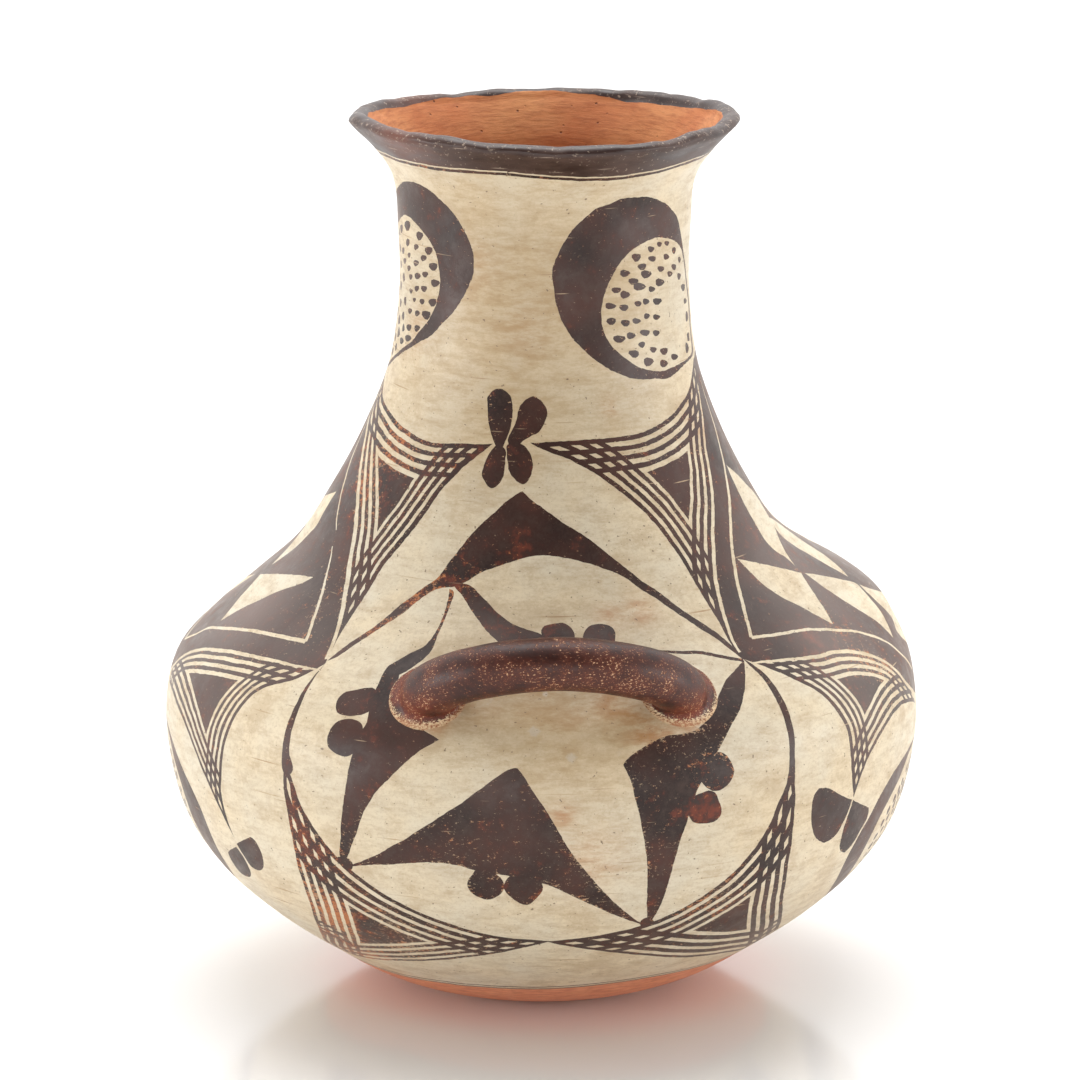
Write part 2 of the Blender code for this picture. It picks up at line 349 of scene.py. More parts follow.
def formTree(finishes):
    inputs = {"Section": "Object", **dict.fromkeys(handWork, "Float")}
    tree, given = newTree("hand built form", inputs)
    flat = addNode(tree, "SeparateXYZ", {0: addNode(tree, "GeometryNodeInputPosition")[0]})
    azimuth, along, lift = flat[0], flat[1], flat[2]
    outline = addNode(tree, "GeometryNodeObjectInfo", {"Object": given["Section"]})["Geometry"]
    sample = addNode(tree, "GeometryNodeSampleCurve", {"Curves": outline, "Length": along}, mode="LENGTH")
    place = addNode(tree, "SeparateXYZ", {0: sample["Position"]})
    tangent = addNode(tree, "SeparateXYZ", {0: sample["Tangent"]})

    # the way out from the axis at this azimuth, and the outward normal of the section
    ahead = addNode(tree, "CombineXYZ", {
        0: addNode(tree, "Math", {0: azimuth}, operation="SINE")[0],
        1: addNode(tree, "Math", {0: azimuth}, operation="COSINE")[0],
    })[0]
    outward = addNode(tree, "VectorMath", {0: ahead, 1: (1, -1, 0)}, operation="MULTIPLY")[0]
    upright = addNode(tree, "CombineXYZ", {2: place[2]})[0]
    turned = addNode(tree, "VectorMath", {
        0: outward, 1: addNode(tree, "CombineXYZ", {0: place[0], 1: place[0]})[0], 2: upright,
    }, operation="MULTIPLY_ADD")[0]
    drop = addNode(tree, "Math", {0: tangent[0], 1: -1.0}, operation="MULTIPLY")[0]
    normal = addNode(tree, "VectorMath", {
        0: outward, 1: addNode(tree, "CombineXYZ", {0: tangent[2], 1: tangent[2]})[0],
        2: addNode(tree, "CombineXYZ", {2: drop})[0],
    }, operation="MULTIPLY_ADD")[0]

    # dents: a soft noise read on the turned form, faded out at the flat base
    perMetre = addNode(tree, "Math", {0: 1.0, 1: given["Dent size"]}, operation="DIVIDE")[0]
    dents = addNode(tree, "TexNoise", {"Vector": turned, "Scale": perMetre, "Detail": 1.0})[0]
    fade = addNode(tree, "MapRange", {
        0: place[2], 1: given["Even below"], 2: given["Uneven above"], 3: 0.0, 4: 2.0,
    }, interpolation_type="SMOOTHSTEP")[0]
    depth = addNode(tree, "Math", {0: given["Unevenness"], 1: fade}, operation="MULTIPLY")[0]
    dents = addNode(tree, "Math", {0: dents, 1: 0.5}, operation="SUBTRACT")[0]
    lifted = addNode(tree, "Math", {0: dents, 1: depth, 2: lift}, operation="MULTIPLY_ADD")[0]
    spot = addNode(tree, "VectorMath", {0: normal, "Scale": lifted}, operation="SCALE")[0]
    spot = addNode(tree, "VectorMath", {0: turned, 1: spot}, operation="ADD")[0]

    # swell on the shoulder: a round hill of azimuth and height
    aside = addNode(tree, "Math", {0: azimuth, 1: given["Swell azimuth"]}, operation="SUBTRACT")[0]
    aside = addNode(tree, "Math", {0: aside, 1: math.pi, 2: -math.pi}, operation="WRAP")[0]
    aside = addNode(tree, "Math", {0: aside, 1: given["Swell spread"]}, operation="DIVIDE")[0]
    above = addNode(tree, "Math", {0: place[2], 1: given["Swell height"]}, operation="SUBTRACT")[0]
    above = addNode(tree, "Math", {0: above, 1: given["Swell rise"]}, operation="DIVIDE")[0]
    away = addNode(tree, "CombineXYZ", {0: aside, 1: above})[0]
    away = addNode(tree, "VectorMath", {0: away, 1: away}, operation="DOT_PRODUCT")["Value"]
    away = addNode(tree, "Math", {0: away, 1: -1.0}, operation="MULTIPLY")[0]
    hill = addNode(tree, "Math", {0: away}, operation="EXPONENT")[0]
    hill = addNode(tree, "Math", {0: hill, 1: given["Swell out"]}, operation="MULTIPLY")[0]
    swell = addNode(tree, "VectorMath", {0: outward, "Scale": hill}, operation="SCALE")[0]

    # lean of the neck and waves of the rim
    lean = addNode(tree, "MapRange", {
        0: place[2], 1: given["Lean from"], 2: given["Lean to"], 3: 0.0, 4: given["Neck lean"],
    }, interpolation_type="SMOOTHSTEP")[0]
    atRim = addNode(tree, "MapRange", {
        0: place[2], 1: given["Waves from"], 2: given["Waves to"], 3: 0.0, 4: 1.0,
    }, interpolation_type="SMOOTHSTEP")[0]
    wave = 0.0
    for count, size, crest in rimWaves:
        turn = addNode(tree, "Math", {
            0: azimuth, 1: count, 2: -count * math.radians(crest),
        }, operation="MULTIPLY_ADD")[0]
        turn = addNode(tree, "Math", {0: turn}, operation="COSINE")[0]
        wave = addNode(tree, "Math", {0: turn, 1: size, 2: wave}, operation="MULTIPLY_ADD")[0]
    wave = addNode(tree, "Math", {0: wave, 1: atRim}, operation="MULTIPLY")[0]
    shift = addNode(tree, "CombineXYZ", {0: lean, 2: wave})[0]
    shift = addNode(tree, "VectorMath", {0: shift, 1: swell}, operation="ADD")[0]
    perMetre = addNode(tree, "Math", {0: 1.0, 1: given["Lip lump size"]}, operation="DIVIDE")[0]
    pinch = addNode(tree, "TexNoise", {"Vector": turned, "Scale": perMetre, "Detail": 1.0})[1]
    pinch = addNode(tree, "VectorMath", {0: pinch, 1: (0.5, 0.5, 0.5)}, operation="SUBTRACT")[0]
    amount = addNode(tree, "MapRange", {
        0: place[2], 1: given["Lip lumps from"], 2: given["Waves to"], 3: 0.0, 4: given["Lip lumps"],
    }, interpolation_type="SMOOTHSTEP")[0]
    pinch = addNode(tree, "VectorMath", {0: pinch, "Scale": amount}, operation="SCALE")[0]
    pinch = addNode(tree, "VectorMath", {0: pinch, 1: (2.0, 2.0, 3.0)}, operation="MULTIPLY")[0]
    shift = addNode(tree, "VectorMath", {0: shift, 1: pinch}, operation="ADD")[0]
    position = addNode(tree, "VectorMath", {0: spot, 1: shift}, operation="ADD")[0]
    shape = addNode(tree, "GeometryNodeSetPosition", {"Geometry": given["Geometry"], "Position": position})[0]
    shape = addNode(tree, "GeometryNodeSetShadeSmooth", {"Geometry": shape})[0]
    shape = addNode(tree, "GeometryNodeRealizeInstances", {"Geometry": shape})[0]
    finish = addNode(tree, "GeometryNodeInputNamedAttribute", {"Name": "finish"}, data_type="INT")[0]
    for number, material in enumerate(finishes):
        chosen = addNode(
            tree, "FunctionNodeCompare", {2: finish, 3: number}, data_type="INT", operation="EQUAL"
        )[0]
        shape = addNode(tree, "GeometryNodeSetMaterial", {
            "Geometry": shape, "Selection": chosen, "Material": material,
        })[0]
    addNode(tree, "NodeGroupOutput", {0: shape})
    return tree


def onForm(flatMesh, finishes):
    # the flat sheet wrapped on the form, as a plain mesh
    item = newObject("flat sheet", flatMesh)
    return madeBy(formTree(finishes), item, {"Section": sectionItem, **handWork})


# Picking: a plain wrapped grid that tells which spot of the plan a pixel shows

pickGrid = {"azimuthSteps": 240, "alongStep": 0.0016, "pastLip": 0.060}


def makeFlat(name, points, faces):
    mesh = bpy.data.meshes.new(name)
    mesh.from_pydata([tuple(point) for point in points], [], [tuple(face) for face in faces])
    return mesh


def makePickTree():
    columns = pickGrid["azimuthSteps"] + 1
    rows = math.ceil((section["lip"] + pickGrid["pastLip"]) / pickGrid["alongStep"])
    azimuths = np.linspace(-math.pi, math.pi, columns)
    alongs = np.linspace(0.01, section["lip"] + pickGrid["pastLip"], rows)
    points = np.array([(azimuth, along, 0.0) for along in alongs for azimuth in azimuths])
    corner = (np.arange(rows - 1)[:, None] * columns + np.arange(columns - 1)[None, :]).ravel()
    faces = np.vstack([
        np.column_stack([corner, corner + 1, corner + columns + 1]),
        np.column_stack([corner, corner + columns + 1, corner + columns]),
    ])
    mesh = onForm(makeFlat("pick grid", points, faces), [])
    wrapped = [vertex.co.copy() for vertex in mesh.vertices]
    plan = [Vector((point[0] * planScale, float(levelAt(point[1])), 0.0)) for point in points]
    triangles = faces.tolist()
    return {"tree": BVHTree.FromPolygons(wrapped, triangles), "corners": wrapped,
            "triangles": triangles, "plan": plan}


def planOf(spot, index):
    # plan coordinates of a spot on one triangle of the pick grid
    corners = pick["triangles"][index]
    found = barycentric_transform(
        spot, *[pick["corners"][i] for i in corners], *[pick["plan"][i] for i in corners]
    )
    return (found.x, found.y)


def planAt(pixel):
    # a pixel just off the limb is moved towards the vase's middle until it meets the clay
    middle = view["framePixels"] / 2
    eye = Vector(view["place"])
    for k in range(40):
        across = pixel[0] + math.copysign(0.5 * k, middle - pixel[0])
        spot, _, index, _ = pick["tree"].ray_cast(eye, rayThrough((across, pixel[1])))
        if spot is not None:
            return planOf(spot, index)
    raise ValueError(f"pixel {pixel} is off the vase")


def planNear(point):
    spot, _, index, _ = pick["tree"].find_nearest(point)
    return planOf(spot, index)


def around(degrees):
    return math.radians(degrees) * planScale


def spotAt(azimuth, height):
    # plan coordinates of a place given by degrees and metres, on the outer side
    return (around(azimuth), float(levelAtHeight(height)))


sectionItem = lineThrough("section", [(radius, 0.0, height) for radius, height in section["points"]])
pick = makePickTree()
print("pick grid made")

# Handles: a bar along an arch, made by Geometry Nodes, then trimmed at the wall and
# eased into it, as a potter smears the root of a handle

handle = {
    "height": form["bellyHeight"] + 0.0340,
    "span": 0.0910,
    "bow": 0.0310,
    "tilt": 35.5,              # degrees
    "bar": 0.0192,
    "root": 0.0218,
    "arch": 1.8,
    "azimuths": {"front": 2.2, "back": 182.2},
    "sides": 44,
    "pathPoints": 221,
    "rings": 110,
    "smear": 0.0042,           # radius of the eased root
    "lumps": 0.00028,
    "lumpSize": 0.013,
}


def handlePath():
    # points across, out and up from the vase's axis at the handle's height, and the share
    # of the half span, which makes the bar thicker towards its roots
    outer = outerOutline()
    radius = float(np.interp(handle["height"], outer[:, 1], outer[:, 0]))
    half = handle["span"] / 2
    chord = math.sqrt(radius**2 - half**2)
    tilt = math.radians(handle["tilt"])
    buried = -handle["root"] - form["wall"]
    places = [(-half, buried)]
    for turn in np.linspace(-math.pi / 2, math.pi / 2, handle["pathPoints"]):
        across = half * math.copysign(abs(math.sin(turn)) ** (2 / handle["arch"]), turn)
        places.append((across, handle["bow"] * max(math.cos(turn), 0.0) ** (2 / handle["arch"])))
    places.append((half, buried))
    return [
        (across, chord + bow * math.cos(tilt), bow * math.sin(tilt), min(abs(across) / half, 1.0))
        for across, bow in places
    ]


def barTree():
    inputs = {
        "Path": "Object", "Bar radius": "Float", "Sides": "Int", "Lumps": "Float", "Lump size": "Float",
    }
    tree, given = newTree("clay bar on a path", inputs)
    line = addNode(tree, "GeometryNodeObjectInfo", {"Object": given["Path"]})["Geometry"]
    ring = addNode(tree, "GeometryNodeCurvePrimitiveCircle", {
        "Resolution": given["Sides"], "Radius": given["Bar radius"],
    })[0]
    bar = addNode(tree, "GeometryNodeCurveToMesh", {"Curve": line, "Profile Curve": ring})[0]
    perMetre = addNode(tree, "Math", {0: 1.0, 1: given["Lump size"]}, operation="DIVIDE")[0]
    swells = addNode(tree, "TexNoise", {"Scale": perMetre, "Detail": 1.5})[0]
    swells = addNode(tree, "Math", {0: swells, 1: 0.5}, operation="SUBTRACT")[0]
    swells = addNode(tree, "Math", {0: swells, 1: given["Lumps"]}, operation="MULTIPLY")[0]
    offset = addNode(tree, "VectorMath", {
        0: addNode(tree, "GeometryNodeInputNormal")[0], "Scale": swells,
    }, operation="SCALE")[0]
    bar = addNode(tree, "GeometryNodeSetPosition", {"Geometry": bar, "Offset": offset})[0]
    bar = addNode(tree, "GeometryNodeRealizeInstances", {"Geometry": bar})[0]
    bar = addNode(tree, "GeometryNodeSetMaterial", {"Geometry": bar})[0]
    addNode(tree, "NodeGroupOutput", {0: bar})
    return tree


def rawBar(azimuth, tree):
    # vertex positions of the untrimmed bar, one row for each ring along the path
    turn = math.radians(azimuth)
    path = handlePath()
    line = lineThrough("handle path", [(
        across * math.cos(turn) + out * math.sin(turn),
        across * math.sin(turn) - out * math.cos(turn),
        handle["height"] + up,
    ) for across, out, up, _ in path])
    for point, (_, _, _, share) in zip(line.data.splines[0].points, path):
        point.radius = 1.0 + (handle["root"] / handle["bar"] - 1.0) * share**2
    mesh = madeBy(tree, newObject("handle bar", bpy.data.meshes.new("handle bar")), {
        "Path": line,
        "Bar radius": handle["bar"] / 2,
        "Sides": handle["sides"],
        "Lumps": 2 * handle["lumps"],
        "Lump size": handle["lumpSize"],
    })
    bpy.data.objects.remove(line)
    places = np.array([tuple(vertex.co) for vertex in mesh.vertices])
    return places.reshape(len(path), handle["sides"], 3)


def wallBelow(point):
    # nearest spot of the wall, its outward normal, and how far the point stands off it
    spot, normal, _, _ = pick["tree"].find_nearest(point)
    return spot, normal, (point - spot).dot(normal)


def trimmedBar(azimuth, tree):
    # rings that run from one root's foot on the wall to the other's
    raw = rawBar(azimuth, tree)
    middle = raw.mean(axis=1)
    count = len(raw)
    rows = []
    for side in range(handle["sides"]):
        gap = np.array([wallBelow(Vector(raw[j, side]))[2] for j in range(count)])
        outside = np.nonzero(gap[: count // 2] <= 0)[0][-1]
        start = outside + gap[outside] / (gap[outside] - gap[outside + 1])
        outside = count // 2 + np.nonzero(gap[count // 2:] <= 0)[0][0]
        end = outside - gap[outside] / (gap[outside] - gap[outside - 1])
        row = []
        for k in range(handle["rings"] + 1):
            share = k / handle["rings"]
            share = 0.35 * share + 0.65 * (1 - math.cos(math.pi * share)) / 2
            at = start + (end - start) * share
            low = min(int(at), count - 2)
            point = Vector(raw[low, side] + (raw[low + 1, side] - raw[low, side]) * (at - low))
            core = Vector(middle[low] + (middle[low + 1] - middle[low]) * (at - low))
            _, normal, height = wallBelow(point)
            height = max(height, 0.0)
            if height < handle["smear"]:
                away = point - core
                away = (away - normal * away.dot(normal)).normalized()
                near = 1 - height / handle["smear"]
                point += away * handle["smear"] * (1 - math.sqrt(1 - near * near))
                spot, normal, lifted = wallBelow(point)
                point = spot + normal * height
            row.append(point)
        rows.append(row)
    return [[rows[side][k] for side in range(handle["sides"])] for k in range(handle["rings"] + 1)]


barMaker = barTree()
bars = {name: trimmedBar(azimuth, barMaker) for name, azimuth in handle["azimuths"].items()}
rootLoops = []
for rings in bars.values():
    rootLoops.append([planNear(point) for point in rings[0]])
    rootLoops.append([planNear(point) for point in rings[-1]])
print("handles trimmed to the wall")

# The skin: the plan cut into triangles whose edges follow every painted outline

finishes = ["slip", "dark", "redSlip", "rimPaint", "inside", "underside", "handlePaint"]

skin = {
    "outerStep": 0.0029,
    "lipStep": 0.0012,
    "innerStep": 0.0070,
    "throatDepth": 0.030,
    "throatStep": 0.0034,
    "baseStep": 0.0040,
    "clear": 0.0010,           # nothing of the plain grid stands nearer to an outline
    "wobble": 0.00016,         # shake of a brush held by hand
    "wobbleSize": 0.007,
    "fray": 0.00011,
    "fraySize": 0.0016,
    "frayShift": (7.1, 3.3, 5.9),
    "shakeSeed": 5,
    "calmOver": 0.004,         # the shake fades out at the foot and inside the lip
    "calmInside": 0.02,
}


def stepAt(along):
    if along < section["foot"]:
        return skin["baseStep"]
    if along < section["lip"]:
        return skin["outerStep"]
    if along < section["lip"] + 0.012:
        return skin["lipStep"]
    if along < section["lip"] + skin["throatDepth"]:
        return skin["throatStep"]
    return skin["innerStep"]


def gridRows():
    # lengths along the section at which the plain grid has a row
    end = section["along"][-1]
    floorWide = section["points"][-2][0] - form["pole"]
    corners = [0.0, section["foot"], section["lip"], end - floorWide, end]
    rows = [0.0]
    while rows[-1] < end:
        radius = float(np.interp(rows[-1], section["fine"], section["radius"]))
        step = min(stepAt(rows[-1]) * 0.87, max(radius, form["pole"]) * 0.7)
        ahead = [corner for corner in corners if corner > rows[-1] + 1e-9][0]
        left = ahead - rows[-1]
        if left < 1.5 * step:
            rows.append(ahead)
        else:
            rows.append(rows[-1] + min(step, left / 2))
    return rows


def gridPoints():
    points = []
    for number, along in enumerate(gridRows()):
        level = float(levelAt(along))
        radius = float(np.interp(along, section["fine"], section["radius"]))
        widest = min(stepAt(along), max(radius, form["pole"]) * 0.8)
        count = max(8, math.ceil(2 * math.pi * radius / widest))
        step = 2 * seam / count
        offset = number % 2 and 0 < along < section["along"][-1]
        across = -seam + (np.arange(count) + 0.5) * step if offset else np.linspace(-seam, seam, count + 1)
        points += [(float(x), level) for x in across]
    return points


def brushShake(plan):
    # where a plan point ends up once the unsteady brush has moved it; without a seed of
    # its own this noise would be another one in each run
    noise.seed_set(skin["shakeSeed"])
    spots = planToForm(plan)
    unit = radiusAt(plan[:, 1]) / planScale
    alongs = alongAt(plan[:, 1])
    calm = np.clip((alongs - section["foot"]) / skin["calmOver"], 0, 1)
    calm *= np.clip((section["lip"] + skin["calmInside"] - alongs) / skin["calmOver"], 0, 1)
    moved = plan.copy()
    for i, spot in enumerate(spots):
        if calm[i] == 0:
            continue
        place = Vector(spot)
        slow = noise.noise_vector(place / skin["wobbleSize"])
        fast = noise.noise_vector(place / skin["fraySize"] + Vector(skin["frayShift"]))
        for axis in (0, 1):
            shift = slow[axis] * skin["wobble"] + fast[axis] * skin["fray"]
            moved[i, axis] += calm[i] * 2 * shift / unit[i]
    return moved


def insideOutline(points, outline):
    # even-odd test for many points
    x, y = points[:, 0], points[:, 1]
    ax, ay = outline[:, 0], outline[:, 1]
    bx, by = np.roll(ax, -1), np.roll(ay, -1)
    inside = np.zeros(len(points), dtype=bool)
    for k in range(len(outline)):
        if ay[k] == by[k]:
            continue
        spans = (ay[k] > y) != (by[k] > y)
        cross = ax[k] + (y - ay[k]) * (bx[k] - ax[k]) / (by[k] - ay[k])
        inside ^= spans & (x < cross)
    return inside


def cutAt(outline, limit, sign):
    # the part of an outline on one side of a vertical line of the plan
    kept = []
    for a, b in zip(outline, np.roll(outline, -1, axis=0)):
        insideA, insideB = sign * (limit - a[0]) >= 0, sign * (limit - b[0]) >= 0
        if insideA:
            kept.append(a)
        if insideA != insideB:
            share = (limit - a[0]) / (b[0] - a[0])
            kept.append(np.array([limit, a[1] + share * (b[1] - a[1])]))
    return np.array(kept)


def copiesInPlan(outline):
    # the outline, and what of it comes back in over the seam
    found = []
    for turns in (-1, 0, 1):
        moved = outline + np.array([2 * seam * turns, 0.0])
        if moved[:, 0].max() <= -seam or moved[:, 0].min() >= seam:
            continue
        moved = cutAt(moved, seam, 1)
        if len(moved):
            moved = cutAt(moved, -seam, -1)
        if len(moved) > 2:
            found.append(moved)
    return found


def zoneFinish(level):
    # the plain ground under the painted shapes
    along = alongAt(level)
    height = np.interp(along, section["fine"], section["height"])
    finish = np.full(len(along), finishes.index("slip"))
    finish[along < section["foot"]] = finishes.index("underside")
    finish[(along < section["lip"]) & (height > zones["rimBandFrom"])] = finishes.index("rimPaint")
    finish[along >= section["lip"]] = finishes.index("rimPaint")
    finish[along >= section["lip"] + zones["rimBandInside"]] = finishes.index("inside")
    return finish


def nearestTo(places):
    tree = KDTree(len(places))
    for i, place in enumerate(places):
        tree.insert(place, i)
    tree.balance()
    return tree


def makeSkinPlan(shapes):
    # flat mesh data: plan points, triangles and the finish of each triangle
    points, edges = [], []

    def addLine(line, closed):
        first = len(points)
        points.extend((float(x), float(y)) for x, y in line)
        last = len(line) - (0 if closed else 1)
        edges.extend((first + i, first + (i + 1) % len(line)) for i in range(last))

    roots = [part for loop in rootLoops for part in copiesInPlan(np.array(loop))]
    for part in roots:
        addLine(part, True)
    for shape in shapes:
        for outline in shape["copies"]:
            addLine(outline, True)
        for line in shape.get("lines", []):
            addLine(line, False)
    tree = nearestTo([(x, y, 0) for x, y in points])
    for x, y in gridPoints():
        _, _, gap = tree.find((x, y, 0))
        if abs(x) >= seam or gap is None or gap * float(mmPerUnit(y)) > skin["clear"] * 1000:
            points.append((x, y))
    found = delaunay_2d_cdt([Vector(point) for point in points], edges, [], 0, 1e-4, True)
    plan = np.array([tuple(point) for point in found[0]])
    faces = np.array(found[2])
    centres = plan[faces].mean(axis=1)
    finish = zoneFinish(centres[:, 1])
    order = np.argsort(centres[:, 0])
    for shape in shapes:
        for outline in shape["copies"]:
            low, high = outline.min(axis=0), outline.max(axis=0)
            first, last = np.searchsorted(centres[order, 0], (low[0], high[0]))
            near = order[first:last]
            near = near[(centres[near, 1] >= low[1]) & (centres[near, 1] <= high[1])]
            near = near[insideOutline(centres[near], outline)]
            if callable(shape["finish"]):
                finish[near] = shape["finish"](centres[near])
            else:
                finish[near] = finishes.index(shape["finish"])
    kept = np.ones(len(faces), dtype=bool)
    for part in roots:
        kept &= ~insideOutline(centres, part)
    return plan, faces[kept], finish[kept]


# The bands round the foot, the neck and the lip

zones = {
    "rimBandFrom": 0.3190,     # outside, just below the painted edge
    "rimBandInside": 0.0015,   # the painted edge inside is drawn from here on
    "creamLine": 0.8,          # mm
    "brownLine": 1.5,
    "footLine": 0.85,
}

# Drawing helpers. A spot is a pixel of the photograph, or a place as degrees and metres
# after the word "at". Outlines are made of brush strokes that meet in corners.

brush = {
    "pointStep": 1.0,          # plan units between the points of an outline
    "netLines": 4,             # cream lines along each side of a net
}
shapes = []


def toPlan(spot):
    return spotAt(spot[1], spot[2]) if spot[0] == "at" else planAt(spot)


def curveOf(spots, closed=False):
    return smoothThrough([toPlan(spot) for spot in spots], brush["pointStep"], closed)


def loopOf(*spots):
    return curveOf(spots, closed=True)


def outlineOf(*strokes):
    parts = []
    for stroke, following in zip(strokes, strokes[1:] + strokes[:1]):
        parts.append(curveOf(list(stroke) + [following[0]])[:-1])
    return np.vstack(parts)


def strokeOf(spots, widths):
    # a brush line; the widths in mm are spread evenly along it
    path = curveOf(spots)
    share = np.linspace(0, 1, len(path))
    half = np.interp(share, np.linspace(0, 1, len(widths)), widths) / 2 / mmPerUnit(path[:, 1])
    aside = sideways(path) * half[:, None]
    return np.vstack([path + aside, (path - aside)[::-1]])


def blobOf(centre, wide, tall, lean=0.0, seed=0):
    # a dab of the brush, given in mm, a little uneven
    x, y = toPlan(centre)
    unit = float(mmPerUnit(y))
    luck = random.Random(seed)
    phases = [luck.uniform(0, 6.28) for _ in range(3)]
    count = max(8, round(math.pi * (wide + tall) / 2 / unit / brush["pointStep"]))
    points = []
    for k in range(count):
        turn = 2 * math.pi * k / count
        swell = 1 + sum(0.045 * math.sin((i + 2) * turn + phase) for i, phase in enumerate(phases))
        a, b = wide / 2 * swell * math.cos(turn), tall / 2 * swell * math.sin(turn)
        points.append((
            x + (a * math.cos(lean) - b * math.sin(lean)) / unit,
            y + (a * math.sin(lean) + b * math.cos(lean)) / unit,
        ))
    return np.array(points)


def overBack(path):
    # the same shape on the far half, mirrored about the plane of the two sides
    return np.column_stack([seam - path[:, 0], path[:, 1]])


def closedOver(half, about):
    # a half outline and its mirror image about an azimuth, as one closed outline
    limit = around(about)
    half = half.copy()
    half[0, 0] = half[-1, 0] = limit
    mirrored = np.column_stack([2 * limit - half[:, 0], half[:, 1]])
    return np.vstack([half, mirrored[::-1][1:-1]])


def paint(outline, finish, lines=()):
    found = []
    for line in lines:
        found += lineCopies(line)
    shapes.append({"copies": copiesInPlan(outline), "finish": finish, "lines": found})


def paintTwice(outline, finish):
    paint(outline, finish)
    paint(overBack(outline), finish)


def lineCopies(line):
    # an open line, and what of it comes back in over the seam, cut at the seam
    found = []
    for turns in (-1, 0, 1):
        moved = line + np.array([2 * seam * turns, 0.0])
        part = []
        for a, b in zip(moved, moved[1:]):
            insideA, insideB = abs(a[0]) <= seam, abs(b[0]) <= seam
            if insideA:
                part.append(a)
            if insideA != insideB:
                limit = math.copysign(seam, (b if insideA else a)[0])
                share = (limit - a[0]) / (b[0] - a[0])
                part.append(np.array([limit, a[1] + share * (b[1] - a[1])]))
                if insideA:
                    found.append(np.array(part))
                    part = []
        if len(part) > 1:
            found.append(np.array(part))
    return [part for part in found if len(part) > 1]


def gapTo(points, line):
    # distance in mm from many points to a line, by the scale of the plan at the line
    a, b = line[:-1], line[1:]
    run = b - a
    size = (run ** 2).sum(axis=1)
    unit = mmPerUnit((a[:, 1] + b[:, 1]) / 2)
    best = np.full(len(points), np.inf)
    for k in range(len(a)):
        share = np.clip(((points - a[k]) @ run[k]) / size[k], 0, 1)
        away = points - a[k] - share[:, None] * run[k]
        best = np.minimum(best, np.sqrt((away ** 2).sum(axis=1)) * unit[k])
    return best


def hatchSteps(side):
    # distances in mm from a side at which the hatching changes colour, cream first
    steps = [side["edge"]]
    for k in range(side["lines"]):
        steps.append(side["edge"] + side["pitch"] * (k + side["cream"]))
        steps.append(side["edge"] + side["pitch"] * (k + 1))
    return steps[:-1]


def drawNet(sides):
    # a dark field with hatching along its sides; a side says its path, the width of its
    # outer dark line and the hatching's pitch, both in mm, and how much of that is cream
    mask = np.vstack([side["path"][:-1] for side in sides])
    turn = np.roll(mask, -1, axis=0)
    area = (mask[:, 0] * turn[:, 1] - turn[:, 0] * mask[:, 1]).sum()
    lines, long = [], []
    for side in sides:
        path = side["path"]
        reach = 12.0
        start = path[0] + (path[0] - path[3]) / np.linalg.norm(path[0] - path[3]) * reach
        end = path[-1] + (path[-1] - path[-4]) / np.linalg.norm(path[-1] - path[-4]) * reach
        path = np.vstack([
            np.linspace(start, path[0], 12)[:-1], path, np.linspace(path[-1], end, 12)[1:],
        ])
        inward = sideways(path) * math.copysign(1, area)
        steps = hatchSteps(side)
        long.append((path, steps))
        for distance in steps:
            if distance <= 0:
                continue
            moved = path + inward * (distance / mmPerUnit(path[:, 1]))[:, None]
            held = insideOutline(moved, mask)
            near = held.copy()
            near[1:] |= held[:-1]
            near[:-1] |= held[1:]
            runs = np.split(np.arange(len(moved)), np.nonzero(np.diff(near.astype(int)))[0] + 1)
            lines += [moved[run] for run in runs if near[run[0]] and len(run) > 2]

    def finishAt(points):
        said = []
        # a copy over the seam is measured on the outline as drawn
        middle = mask[:, 0].mean()
        points = points.copy()
        points[:, 0] -= 2 * seam * np.round((points[:, 0] - middle) / (2 * seam))
        for path, steps in long:
            gap = gapTo(points, path)
            place = np.searchsorted(steps, gap)
            within = place < len(steps)
            said.append(np.where(within, place % 2, -1))
        said = np.array(said)
        cream = (said != 0).all(axis=0) & (said == 1).any(axis=0)
        return np.where(cream, finishes.index("slip"), finishes.index("dark"))

    paint(mask, finishAt, lines)


def drawNetTwice(*sides):
    # each side: its spots, edge, pitch, cream and, where it isn't four, its number of cream
    # lines; it runs on to the next side's first spot
    made = []
    for (spots, *widths), following in zip(sides, sides[1:] + sides[:1]):
        side = dict(zip(("edge", "pitch", "cream", "lines"), widths + [brush["netLines"]]))
        side["path"] = curveOf(list(spots) + [following[0][0]])
        made.append(side)
    drawNet(made)
    drawNet([dict(side, path=overBack(side["path"])[::-1]) for side in reversed(made)])


# Rings: the lower edge of the lip's paint and the line under it, and two lines at the foot


def ringBetween(low, high):
    # an area right round the vase between two lists of (azimuth, level) points
    return np.vstack([low, high[::-1]])


def ringThrough(places):
    # a line right round the vase through plan points
    places = sorted(places)
    first, last = places[0], places[-1]
    places = [(last[0] - 2 * seam, last[1])] + places + [(first[0] + 2 * seam, first[1])]
    across = np.linspace(-seam, seam, 361)
    turned = smoothThrough(places, 2.0)
    levels = np.interp(across, turned[:, 0], turned[:, 1])
    levels[0] = levels[-1] = (levels[0] + levels[-1]) / 2
    return np.column_stack([across, levels])


def ringLine(azimuthsAndHeights, dropMm):
    # the same through places on the outer side, lowered by some mm
    ring = ringThrough([spotAt(*place) for place in azimuthsAndHeights])
    ring[:, 1] -= dropMm / mmPerUnit(ring[:, 1])
    return ring


